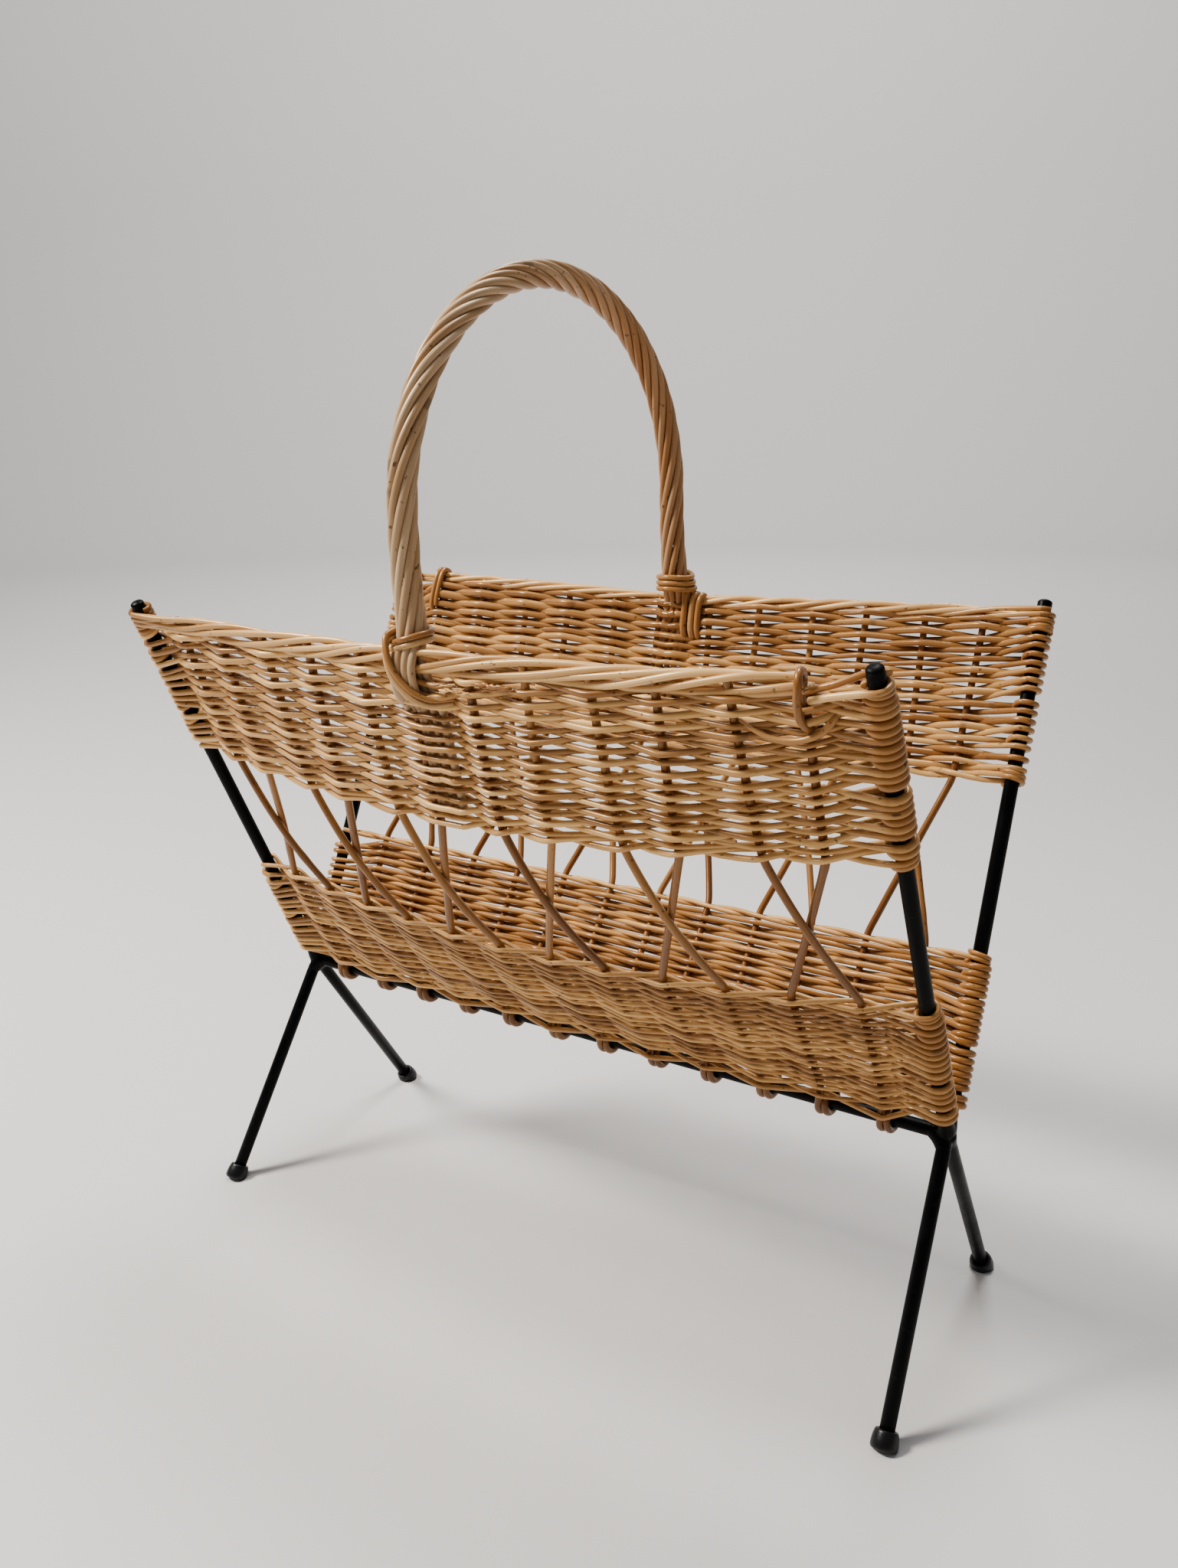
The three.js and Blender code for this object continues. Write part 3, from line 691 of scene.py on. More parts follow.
def surface_wear_group() -> bpy.types.NodeTree:
    """Dust and small rubs on painted or moulded surfaces, from a place on the piece.

    Returns:
        A group from a vector to a dust mask, a scuff mask and a fine height.
    """
    group = bpy.data.node_groups.new("surface_wear", "ShaderNodeTree")
    face = group.interface
    face.new_socket("Place", in_out="INPUT", socket_type="NodeSocketVector")
    for name in ("Dust", "Scuff", "Height"):
        face.new_socket(name, in_out="OUTPUT", socket_type="NodeSocketFloat")
    nodes = Nodes(group)
    given = nodes.add("NodeGroupInput")
    shown = nodes.add("NodeGroupOutput")
    place = given.outputs["Place"]
    dust = nodes.span(nodes.noise(place, 45.0, 4.0, 0.6), 0.45, 0.75)
    scuff = nodes.span(nodes.noise(nodes.stretch(place, (1.0, 1.0, 5.0)), 160.0, 3.0, 0.7), 0.62, 0.74)
    height = nodes.noise(place, 900.0, 2.0)
    for name, value in (("Dust", dust), ("Scuff", scuff), ("Height", height)):
        nodes.join(value, shown.inputs[name])
    return group


@dataclass(frozen=True)
class DarkFinish:
    """A black painted or moulded surface with dust and rubs."""

    name: str
    base: Colour
    dusted: Colour
    scuffed: Colour
    smoothest: float
    roughest: float
    relief: float
    gloss: float

    def material(self, wear: bpy.types.NodeTree) -> bpy.types.Material:
        """Make the material.

        Args:
            wear: The shared wear group.

        Returns:
            The finished material.
        """
        material = bpy.data.materials.new(self.name)
        material.use_nodes = True
        nodes = Nodes(material.node_tree)
        shader = material.node_tree.nodes["Principled BSDF"]
        place = nodes.add("ShaderNodeTexCoord")
        used = nodes.add("ShaderNodeGroup", node_tree=wear)
        nodes.join(place.outputs["Object"], used.inputs["Place"])
        dusty = nodes.blend("MIX", nodes.math("MULTIPLY", used.outputs["Dust"], 0.5), self.base, self.dusted)
        rubbed = nodes.blend("MIX", nodes.math("MULTIPLY", used.outputs["Scuff"], 0.5), dusty, self.scuffed)
        nodes.join(rubbed, shader.inputs["Base Color"])
        nodes.join(
            nodes.span(used.outputs["Dust"], 0.0, 1.0, self.smoothest, self.roughest), shader.inputs["Roughness"]
        )
        bump = nodes.add("ShaderNodeBump")
        bump.inputs["Strength"].default_value = 0.35
        bump.inputs["Distance"].default_value = self.relief
        nodes.join(used.outputs["Height"], bump.inputs["Height"])
        nodes.join(bump.outputs[0], shader.inputs["Normal"])
        shader.inputs["Specular IOR Level"].default_value = self.gloss
        return material


@dataclass(frozen=True)
class Finishes:
    """The materials of the basket."""

    weave: bpy.types.Material
    stake: bpy.types.Material
    border: bpy.types.Material
    binder: bpy.types.Material
    handle: bpy.types.Material
    steel: bpy.types.Material
    rubber: bpy.types.Material

    @staticmethod
    def mixed() -> "Finishes":
        """Make every finish of the basket once."""
        grain = rod_grain_group()
        wear = surface_wear_group()
        speck = (0.03, 0.011, 0.004, 1.0)
        # Dark colour of turns round things and of painted shade.
        wrapped_and_painted_shade = (0.28, 0.105, 0.020, 1.0)
        return Finishes(
            weave=WillowFinish(
                "weave_willow", (0.76, 0.44, 0.150, 1.0), (0.44, 0.215, 0.060, 1.0), (0.20, 0.075, 0.016, 1.0),
                wrapped_and_painted_shade, speck, 0.19, 0.35, 0.0002,
            ).material(grain),
            stake=WillowFinish(
                "stake_willow", (0.42, 0.19, 0.050, 1.0), (0.27, 0.105, 0.022, 1.0), (0.15, 0.048, 0.009, 1.0),
                (0.10, 0.032, 0.006, 1.0), speck, 0.18, 0.34, 0.0002,
            ).material(grain),
            border=WillowFinish(
                "border_willow", (0.74, 0.45, 0.175, 1.0), (0.53, 0.285, 0.095, 1.0), (0.30, 0.125, 0.030, 1.0),
                wrapped_and_painted_shade, speck, 0.19, 0.35, 0.0002,
            ).material(grain),
            binder=WillowFinish(
                "binder_willow", (0.62, 0.37, 0.15, 1.0), (0.36, 0.165, 0.045, 1.0), (0.19, 0.070, 0.015, 1.0),
                wrapped_and_painted_shade, speck, 0.19, 0.34, 0.0002,
            ).material(grain),
            handle=WillowFinish(
                "handle_willow", (0.56, 0.39, 0.230, 1.0), (0.38, 0.22, 0.100, 1.0), (0.18, 0.070, 0.017, 1.0),
                wrapped_and_painted_shade, speck, 0.26, 0.42, 0.0002,
            ).material(grain),
            steel=DarkFinish(
                "painted_steel", (0.0008, 0.0008, 0.0010, 1.0), (0.003, 0.003, 0.003, 1.0), (0.02, 0.02, 0.021, 1.0),
                0.34, 0.50, 0.0001, 0.05,
            ).material(wear),
            rubber=DarkFinish(
                "foot_rubber", (0.0022, 0.0022, 0.0028, 1.0), (0.007, 0.007, 0.007, 1.0), (0.02, 0.02, 0.02, 1.0),
                0.34, 0.50, 0.0002, 0.22,
            ).material(wear),
        )


# Weaving


@dataclass
class WovenBand:
    """One woven band of a panel: thin rods worked over and under the stakes, from post to post.

    One long weaver is laid out row by row. At every upright it stands outside or inside by the
    upright's radius plus its own, in turn, and runs straight between them with a short rounded
    kink at each. At a post it goes round, at times once more, and comes back as the next row. The
    long weaver is then cut into rods that run from butt to tip.
    """

    panel: PanelForm
    name: str
    node: str
    bottom: float
    top: float
    pair_at_top: bool
    row_count: int
    extra_turns: dict[End, float]
    ring_radius: dict[End, float]
    ring_bottom: float
    seed: int
    fullness: float = 0.95
    left_fuller: float = 0.10
    chatter: float = 0.00045
    butt: float = 1.08
    tip: float = 0.92
    # Highest tint a rod may take; the lower bands keep it low as painted shade inside the V.
    palest_under_painted_shade: float = 1.0
    # Painted shade: how much the rods darken towards the right end, away from the light.
    right_painted_shade: float = 0.06
    group_from: float | None = None
    group_pitch: float = 0.0062
    group_count: int = 3
    bare_spots: dict[End, tuple[float, ...]] = field(
        default_factory=lambda: {End.LEFT: (0.08, 0.30, 0.47, 0.66, 0.80, 0.90), End.RIGHT: (0.11, 0.40)}
    )
    bare_share: dict[End, float] = field(default_factory=lambda: {End.LEFT: 0.022, End.RIGHT: 0.032})
    # Painted shade on the rings at each post: deep at the right post, slight at the left one, which faces the light.
    ring_painted_shade: dict[End, float] = field(default_factory=lambda: {End.LEFT: 0.1, End.RIGHT: 0.9})
    pair_radius: float = 0.0015
    pair_swing: float = 0.0014
    pair_height: float = 0.0058
    stake_radius: float = 0.0020
    kink_length: float = 0.0035
    ring_samples: int = 14
    knots: tuple[float, ...] = (0.0, 0.035, 0.075, 0.125, 0.25, 0.5, 0.75, 0.875, 0.925, 0.965)

    def uprights(self, heights: np.ndarray) -> list[tuple[np.ndarray, float, int]]:
        """List what a row passes.

        Args:
            heights: A height for each row.

        Returns:
            For each upright its places at these heights, its radius, and 1 where the weaver changes
            side on its way to it, or 0 where it stays on the same side.
        """
        half = self.panel.half_span
        level = np.ones_like(heights)
        found = [(-half * level, self.panel.rod_diameter / 2, 1)]
        for places in self.panel.stake_places(heights):
            found.append((places, self.stake_radius, 1))
            if self.group_from is not None and abs(float(places.mean()) - self.group_from) < 0.004:
                steps = self.group_pitch * np.arange(1, self.group_count + 1)
                found += [(places + step, self.stake_radius, 0) for step in steps]
        found.append((half * level, self.panel.rod_diameter / 2, 1))
        return found

    def turns(self, end: End, count: int, random: np.random.Generator) -> tuple[np.ndarray, np.ndarray, float]:
        """Choose how the weaver goes round a post.

        Args:
            end: Which post.
            count: How many times the weaver comes to it.
            random: The seeded source of chance.

        Returns:
            Extra turns at each coming, the height of each first ring, and the pitch of the rings.
            At the bare spots the rings stand apart, so that the black post shows.
        """
        extra = (random.random(count) < self.extra_turns[end]).astype(int)
        low, high = self.ring_span()
        pitch = (high - low) / (count + extra.sum())
        before = np.concatenate([[0], np.cumsum(1 + extra)[:-1]])
        climb = (before + 0.5 + random.uniform(-0.14, 0.14, count)) * pitch / (high - low)
        bare = np.array(self.bare_spots[end])
        squeezed = 1.0 - self.bare_share[end] * len(bare)
        climb = climb * squeezed + self.bare_share[end] * (climb[:, None] > bare).sum(axis=1)
        return extra, low + climb * (high - low), pitch * squeezed

    def ring_span(self) -> tuple[float, float]:
        """Lowest and highest height of the rings on a post."""
        if self.pair_at_top:
            return self.ring_bottom, self.top - self.pair_height
        return self.bottom + self.pair_height, self.top

    def row_span(self) -> tuple[float, float]:
        """Lowest and highest height of the plain rows."""
        if self.pair_at_top:
            return self.bottom, self.top - self.pair_height
        return self.bottom + self.pair_height, self.top

    def build(self, finishes: Finishes) -> None:
        """Weave the band, dress it and tie it to the frame."""
        random = np.random.default_rng(self.seed)
        bundle = Bundle(self.name)
        self.weave(bundle, random)
        self.twist_pair(bundle, random)
        settle(bundle.build(finishes.weave), [self.node])

    def weave(self, bundle: Bundle, random: np.random.Generator) -> None:
        """Lay the long weaver row by row, cut it into rods and sweep them."""
        low, high = self.row_span()
        thick = random.uniform(0.8, 1.2, self.row_count)
        edges = np.concatenate([[0.0], np.cumsum(thick)])
        heights = low + (high - low) * (edges[:-1] + edges[1:]) / 2 / edges[-1]
        radii = thick * (high - low) / thick.sum() / 2 * self.fullness
        passed = self.uprights(heights)
        plans = {
            End.RIGHT: self.turns(End.RIGHT, (self.row_count + 1) // 2, random),
            End.LEFT: self.turns(End.LEFT, self.row_count // 2 + 1, random),
        }
        waves = random.uniform(0.0, FULL_TURN, 2)
        parts = []
        for row in range(self.row_count):
            parts.append(self.row(row, heights, radii, passed, plans, waves, random))
            end = End.RIGHT if row % 2 == 0 else End.LEFT
            outside = parts[-1][2][-1] > 0
            parts.append(self.ring(end, plans[end], row // 2, outside, row + 1 == self.row_count))
        place, level, out, flat, thick, wrap_and_painted_shade = np.concatenate(parts, axis=1)
        walked = run_along(np.stack([place, level, out], axis=1))
        for first, last in self.cuts(walked, out, random):
            stretch = slice(first, last)
            path = (place[stretch], level[stretch], out[stretch], flat[stretch])
            self.rod(bundle, random, path, thick[stretch], wrap_and_painted_shade[stretch])

    def row(
        self, row: int, heights: np.ndarray, radii: np.ndarray, passed: list[tuple[np.ndarray, float, int]],
        plans: dict[End, tuple[np.ndarray, np.ndarray, float]], waves: np.ndarray, random: np.random.Generator,
    ) -> np.ndarray:
        """Lay one row from post to post.

        The height is the row's own plus two slow waves that fade at the band's edges, plus a small
        chance step at each upright, and it runs straight to the height of the ring at each post.

        Args:
            row: Number of the row, from the bottom.
            heights: Height of each row.
            radii: Radius of each row.
            passed: What the rows pass.
            plans: The rings at each post.
            waves: Where the slow waves begin.
            random: The seeded source of chance.

        Returns:
            Place, height, distance outside, flatness, radius, and darkening by wraps and painted shade at each sample,
            one row each.
        """
        low, high = self.row_span()
        stands = np.array([item[0][row] for item in passed])
        flips = np.array([1 if index == 0 or not item[2] else -1 for index, item in enumerate(passed)])
        signs = np.cumprod(flips) * (1 if row % 2 == 0 else -1)
        reach = (np.array([item[1] for item in passed]) + radii[row]) * random.uniform(0.92, 1.08, len(passed))
        reach[[0, -1]] = [self.post_reach(End.LEFT), self.post_reach(End.RIGHT)]
        width = np.diff(stands)
        share = np.tile(np.array(self.knots), len(width))
        gap = np.repeat(np.arange(len(width)), len(self.knots))
        place = np.append(stands[gap] + width[gap] * share, stands[-1])
        ease = kinked(share, self.kink_length / width[gap])
        out = mix(signs[gap] * reach[gap], signs[gap + 1] * reach[gap + 1], ease)
        out = np.append(out, signs[-1] * reach[-1])
        climb = (heights[row] - low) / (high - low)
        wave = 0.0008 * np.sin(place * 21.0 + waves[0] + 3.0 * climb) + 0.0006 * np.sin(place * 47.0 + waves[1])
        step = np.interp(place, stands, random.normal(0.0, self.chatter, len(stands)))
        level = heights[row] + wave * math.sin(math.pi * climb) + step
        to_left = np.clip(1.0 - (place - stands[0]) / (stands[1] - stands[0]), 0.0, 1.0)
        to_right = np.clip(1.0 - (stands[-1] - place) / (stands[-1] - stands[-2]), 0.0, 1.0)
        level = mix(level, self.ring_level(plans[End.LEFT], (row - 1) // 2, row % 2 == 0, climb), to_left)
        level = mix(level, self.ring_level(plans[End.RIGHT], row // 2, row % 2 == 1, climb), to_right)
        near = np.maximum(to_left, to_right)
        out = out + self.panel.rail_shift(level, 0.0063) * (1.0 - near)
        ring = np.where(place < 0, self.ring_radius[End.LEFT], self.ring_radius[End.RIGHT])
        fuller = 1.0 + self.left_fuller * np.clip(-place / self.panel.half_span, -0.4, 1.0)
        thick = mix(radii[row] * fuller, ring, near**4)
        order = slice(None) if row % 2 == 0 else slice(None, None, -1)
        # Painted shade: rods darken into the rings at each post, and towards the right end, away from the light.
        wrap_and_painted_shade = near**6 * np.where(place < 0, self.ring_painted_shade[End.LEFT], self.ring_painted_shade[End.RIGHT])
        wrap_and_painted_shade = np.maximum(wrap_and_painted_shade, self.right_painted_shade * np.clip((place - 0.06) / 0.12, 0.0, 1.0))
        return np.stack([place, level, out, np.zeros(len(place)), thick, wrap_and_painted_shade])[:, order]

    def ring(
        self, end: End, plan: tuple[np.ndarray, np.ndarray, float], which: int, outside: bool, closing: bool
    ) -> np.ndarray:
        """Lay the turn round a post between two rows.

        Args:
            end: Which post.
            plan: The rings at this post.
            which: Number of this coming.
            outside: Whether the weaver meets the post on its outer side.
            closing: Whether it is the last turn, which ends behind the post.

        Returns:
            The same six values as for a row, at each sample of the turn.
        """
        extra, firsts, pitch = plan
        turned = HALF_TURN * (1 + 2 * extra[which]) + (HALF_TURN * 0.8 if closing else 0.0)
        count = 2 + int(self.ring_samples * turned / HALF_TURN)
        progress = np.linspace(0.0, turned, count)[1:] if closing else np.linspace(0.0, turned, count)[1:-1]
        angle = (1 if outside else -1) * (QUARTER_TURN - progress)
        reach = self.post_reach(end)
        level = firsts[which] + pitch * self.climb(progress)
        ones = np.ones(len(angle))
        place = end * (self.panel.half_span + reach * np.cos(angle))
        # Painted shade on this ring, varied from ring to ring.
        wrap_and_painted_shade = ones * self.ring_painted_shade[end] * (0.70 + 0.45 * (0.618 * which % 1.0))
        return np.stack([place, level, reach * np.sin(angle), ones, ones * self.ring_radius[end], wrap_and_painted_shade])

    @staticmethod
    def climb(progress: np.ndarray) -> np.ndarray:
        """Pitches that a ring has climbed: it lies level on the outside and steps up towards the weave."""
        turns = (progress - HALF_TURN) / FULL_TURN
        return np.floor(np.maximum(turns, 0.0)) + smooth(2.0 * np.mod(np.maximum(turns, 0.0), 1.0))

    def post_reach(self, end: End) -> float:
        """Distance from a post's axis to the middle of a rod that goes round it."""
        return self.panel.rod_diameter / 2 + self.ring_radius[end]

    def ring_level(self, plan: tuple[np.ndarray, np.ndarray, float], which: int, leaving: bool, climb: float) -> float:
        """Height at which a row meets a post: the start or the end of its turn there."""
        extra, firsts, pitch = plan
        low, high = self.ring_span()
        if which < 0:
            return mix(low, high, climb)
        return firsts[which] + pitch * (extra[which] if leaving else 0)

    def cuts(self, walked: np.ndarray, out: np.ndarray, random: np.random.Generator) -> Iterator[tuple[int, int]]:
        """Cut the long weaver into rods.

        Args:
            walked: Length at each point.
            out: Distance of each point outside the middle of the weave.
            random: The seeded source of chance.

        Yields:
            First and last point of each rod. Rods overlap by a few points, and each joint lies
            where the weaver is furthest inside.
        """
        lap = 6
        spots = [0]
        goal = random.uniform(0.35, 0.8)
        while goal < walked[-1] - 0.3:
            near = int(np.searchsorted(walked, goal))
            window = slice(max(near - 14, 0), near + 14)
            spots.append(window.start + int(np.argmin(out[window])))
            goal += random.uniform(0.55, 0.95)
        spots.append(len(walked) - 1)
        for first, last in zip(spots[:-1], spots[1:]):
            yield max(first - lap, 0), min(last + lap, len(walked))

    def rod(
        self, bundle: Bundle, random: np.random.Generator, stretch: tuple[np.ndarray, ...],
        thick: np.ndarray, wrap_and_painted_shade: np.ndarray,
    ) -> None:
        """Sweep one rod of the weaver: thicker at its butt, thinner at its tip, ends tucked apart."""
        place, level, out, flat = stretch
        count = len(place)
        share = np.linspace(0.0, 1.0, count)
        taper = mix(self.butt, self.tip, share if random.random() < 0.5 else 1.0 - share)
        tuck = np.exp(-np.arange(count) / 4.0) - np.exp(-np.arange(count)[::-1] / 4.0)
        path = self.panel.point(place, level + 0.0011 * tuck, out - 0.0008 * np.abs(tuck), flat)
        ends = mix(1.0, 0.75, np.abs(tuck))
        bundle.add(
            path, thick * mix(taper, 1.0, wrap_and_painted_shade) * ends, self.panel.upward, random.random() * self.palest_under_painted_shade, wrap_and_painted_shade,
            start=random.uniform(0.0, 9.0),
        )

    def twist_pair(self, bundle: Bundle, random: np.random.Generator) -> None:
        """Work a pair of rods along the open edge.

        One passes outside each upright while the other passes inside, with a kink there, and in the
        gap they change over: one rises and the other sinks by a sine of the way between uprights.
        """
        middle = self.top - self.pair_height / 2 if self.pair_at_top else self.bottom + self.pair_height / 2
        passed = self.uprights(np.array([middle]))
        stands = np.array([item[0][0] for item in passed])
        steps = np.array([item[2] for item in passed[1:]])
        phase = np.concatenate([[0], np.cumsum(steps)])
        half = self.panel.half_span
        width = np.diff(stands)
        share = np.tile(np.array(self.knots), len(width))
        gap = np.repeat(np.arange(len(width)), len(self.knots))
        place = np.append(stands[gap] + width[gap] * share, half)
        reach = np.array([item[1] for item in passed]) + self.pair_radius
        ring_turn = np.linspace(0.0, HALF_TURN * 1.4, 20)[1:]
        for start in (1, -1):
            signs = start * np.where(phase % 2 == 0, 1.0, -1.0)
            ease = kinked(share, self.kink_length / width[gap])
            out = mix(signs[gap] * reach[gap], signs[gap + 1] * reach[gap + 1], ease)
            out = np.append(out, signs[-1] * reach[-1])
            swing = self.pair_swing * np.sin(np.pi * share) * signs[gap] * steps[gap]
            level = middle + np.append(swing, 0.0)
            angle = signs[-1] * (QUARTER_TURN - ring_turn)
            ring_reach = self.panel.rod_diameter / 2 + self.pair_radius
            path = self.panel.point(
                np.concatenate([place, half + ring_reach * np.cos(angle)]),
                np.concatenate([level, level[-1] + signs[-1] * 0.0008 * ring_turn]),
                np.concatenate([out, ring_reach * np.sin(angle)]),
                np.concatenate([np.zeros(len(place)), np.ones(len(angle))]),
            )
            # Painted shade: the pair darkens as it goes round the right post, as the rings there do.
            wrap_and_painted_shade = smooth((np.concatenate([place, np.full(len(angle), half)]) - half + 0.012) / 0.012)
            bundle.add(
                path, self.pair_radius, self.panel.upward, random.uniform(0.5, 0.9), wrap_and_painted_shade, start=random.uniform(0.0, 9.0)
            )


@dataclass
class StakeRods:
    """Twelve willow stakes, each from the front rim down, round the rail and up to the rear rim.

    In a band a stake stands in the middle of the weave. In the open zone the two of a pair cross,
    one outside and one inside, by a half sine of the way across. At the rail the stake goes once
    and a half round it, drifting by its own thickness in each turn.
    """

    front: PanelForm
    rear: PanelForm
    diameter: float = 0.0040
    crossing_gap: float = 0.0005
    turn_gap: float = 0.0005
    top_spare: float = 0.004
    thickest: float = 1.22
    seed: int = 71

    def descent(self, panel: PanelForm, pair: int, way: Way, drift: float) -> np.ndarray:
        """Follow one stake down one panel.

        Args:
            panel: The panel.
            pair: Which pair the stake belongs to.
            way: Which way it leans.
            drift: How far its turn round the rail carries it along.

        Returns:
            Points from the rim to the rail's height.
        """
        height = np.linspace(panel.rim + self.top_spare, 0.0, 130)
        place = panel.pair_place(pair) + panel.stake_offset(way, height)
        crossing = np.clip((height - panel.lower_top) / panel.open_height, 0.0, 1.0)
        out = way * (self.diameter + self.crossing_gap) / 2 * np.sin(np.pi * crossing)
        near = np.clip(1.0 - height / panel.turn_lead, 0.0, 1.0)
        out = out + panel.rail_shift(height, self.turn_radius(panel))
        points = panel.point(place, height, out)
        points[:, 0] += panel.side * drift * near / 2
        return points

    def turn_radius(self, panel: PanelForm) -> float:
        """Distance from the rail's axis to the middle of a stake that goes round it."""
        return (panel.rod_diameter + self.diameter) / 2 + panel.clearance

    def path(self, pair: int, way: Way) -> np.ndarray:
        """Join the two descents by the turn round the rail."""
        start = math.asin(self.front.lean)
        finish = 3 * HALF_TURN - start
        drift = (self.diameter + self.turn_gap) * (finish - start) / FULL_TURN
        radius = self.turn_radius(self.front)
        place = self.front.pair_place(pair) + way * self.front.lower_half
        along = np.linspace(0.0, 1.0, 64)[1:-1]
        angle = mix(start, finish, along)
        turn = np.stack(
            [
                place + drift * (along - 0.5),
                -radius * np.cos(angle),
                self.front.joint_height - radius * np.sin(angle),
            ],
            axis=1,
        )
        down = self.descent(self.front, pair, way, drift)
        back = self.descent(self.rear, pair, way, drift)[::-1]
        return np.concatenate([down, turn, back])

    def thickness(self, count: int, random: np.random.Generator) -> np.ndarray:
        """Share of the stake's radius at each point: a taper from one end, and a few swollen nodes."""
        share = np.linspace(0.0, 1.0, count)
        taper = mix(random.uniform(1.08, self.thickest), random.uniform(0.98, 1.08), share)
        swells = random.uniform(0.05, 0.95, 5)[:, None]
        knobs = 0.10 * np.exp(-(((share - swells) / 0.006) ** 2)).sum(axis=0)
        return taper + knobs

    def build(self, finishes: Finishes) -> None:
        """Sweep the twelve stakes, each a piece of its own."""
        random = np.random.default_rng(self.seed)
        for pair in range(self.front.pair_count):
            for order, way in enumerate((Way.RIGHTWARD, Way.LEFTWARD)):
                number = 2 * pair + order + 1
                turn_number = 2 * pair + (2 - order)
                bundle = Bundle(f"stake_rod_{number:02d}")
                path = softened(self.path(pair, way), 2)
                radius = self.diameter / 2 * self.thickness(len(path), random)
                # Painted shade: the stakes darken down the open zone towards the lower band, deep in the V, and round
                # the rail under the weave, on top of an even darker tone.
                below = self.front.joint_height + self.front.rise * self.front.lower_top - path[:, 2]
                turned = smooth((self.front.joint_height + 0.010 - path[:, 2]) / 0.012)
                wrap_and_painted_shade = 0.30 + 0.35 * smooth((below + 0.050) / 0.050) + 0.35 * turned
                bundle.add(path, radius, X_AXIS, random.random(), wrap_and_painted_shade, sides=14, start=random.uniform(0.0, 9.0))
                nodes = [f"front_stake_{number:02d}", f"rear_stake_{number:02d}", f"rail_turn_{turn_number:02d}"]
                settle(bundle.build(finishes.stake), nodes)


@dataclass
class RimBorder:
    """The twisted rim of a panel: rods laid round each other, whose ends go round the posts."""

    panel: PanelForm
    name: str
    node: str
    seed: int
    strand_count: int = 6
    strand_radius: float = 0.00178
    half_height: float = 0.0047
    half_depth: float = 0.0026
    lay: float = 0.150
    end_blend: float = 0.060
    end_radius: float = 0.0016
    lift: float = 0.0
    end_drop: float = 0.0018
    left_lift: float = 0.0
    coil_turns: float = 2.3
    loop_place: float | None = None

    def build(self, finishes: Finishes) -> None:
        """Sweep the rods of the rim.

        Rod k stands at the rim's height plus half height times the cosine of its angle, and out by
        half depth times the sine. The angle grows by one turn in each lay. Towards the posts the
        rods move into a stack, and each goes most of the way round the post. Where a loop binds the
        rim, all rods end inside it, and two more run from it to the post.
        """
        random = np.random.default_rng(self.seed)
        bundle = Bundle(self.name)
        half = self.panel.half_span
        place = np.linspace(-half, half, 190)
        near = smooth(1.0 - (half - np.abs(place)) / self.end_blend)
        for strand in range(self.strand_count):
            start = FULL_TURN * strand / self.strand_count + 0.3
            wander = random.uniform(0.0, FULL_TURN, 2)
            angle = start + self.panel.side * FULL_TURN * place / self.lay + 0.35 * np.sin(31.0 * place + wander[0])
            level = self.panel.rim + self.lift + self.half_height * np.cos(angle)
            out = self.half_depth * np.sin(angle) + 0.0003 * np.sin(53.0 * place + wander[1])
            pieces = {}
            for end in End:
                close = near * (np.sign(place) == end)
                order = (strand * 2 + (end > 0)) % self.strand_count
                slot = self.panel.rim + self.end_drop - self.end_radius * 1.95 * (order // 2)
                slot += self.left_lift if end == End.LEFT else 0.0
                sign = 1.0 if order % 2 == 0 else -1.0
                level = mix(level, slot, close)
                out = mix(out, sign * self.post_reach, close**2)
                pieces[end] = self.turn(end, sign, slot)
            path = [place, level, out, np.zeros(len(place)), near]
            if self.loop_place is not None:
                kept = place < self.loop_place + 0.001 * strand
                path = [values[kept] for values in path]
            else:
                path = [np.concatenate(both) for both in zip(path, pieces[End.RIGHT])]
            path = [np.concatenate([after[::-1], before]) for before, after in zip(path, pieces[End.LEFT])]
            self.strand(bundle, random, path, random.uniform(0.3, 1.0))
        if self.loop_place is not None:
            self.ends(bundle, random)
            self.rough_spots(bundle, random)
        for end in End:
            if self.loop_place is None or end == End.LEFT:
                self.coil(bundle, random, end, self.panel.rim - 0.0084, self.coil_turns)
        settle(bundle.build(finishes.border), [self.node])

    def coil(self, bundle: Bundle, random: np.random.Generator, end: End, low: float, turns: float) -> None:
        """Wind one more rod round a post between the band and the rim, a plain helix."""
        rings = np.linspace(0.0, FULL_TURN * turns, int(26 * turns))
        ones = np.ones(len(rings))
        place = end * (self.panel.half_span + self.post_reach * np.cos(rings))
        level = low + self.end_radius * 2.05 * rings / FULL_TURN
        self.strand(bundle, random, [place, level, self.post_reach * np.sin(rings), ones, ones], 0.4)

    @property
    def post_reach(self) -> float:
        """Distance from a post's axis to the middle of a rim rod that goes round it."""
        return self.panel.rod_diameter / 2 + self.end_radius

    def turn(self, end: End, sign: float, level: float) -> list[np.ndarray]:
        """Go round a post: most of a turn from the outer side, or a short way behind it.

        Args:
            end: Which post.
            sign: 1 from the outer side, -1 from the inner side.
            level: Height at which the rod meets the post.

        Returns:
            Place, height, distance outside, flatness and closeness at each point.
        """
        sweep = np.linspace(0.0, FULL_TURN * (0.80 if sign > 0 else 0.14), 22)[1:]
        ring = sign * (QUARTER_TURN - sweep)
        ones = np.ones(len(sweep))
        place = end * (self.panel.half_span + self.post_reach * np.cos(ring))
        return [place, level + 0.0010 * sweep / FULL_TURN, self.post_reach * np.sin(ring), ones, ones]

    def strand(self, bundle: Bundle, random: np.random.Generator, path: list[np.ndarray], tint: float) -> None:
        """Sweep one rod of the rim, thinner where it goes round a post."""
        place, level, out, flat, near = path
        radius = mix(self.strand_radius * random.uniform(0.92, 1.08), self.end_radius, near)
        points = self.panel.point(place, level, out, flat)
        bundle.add(points, radius, self.panel.upward, tint, near**4, sides=12, start=random.uniform(0.0, 9.0))

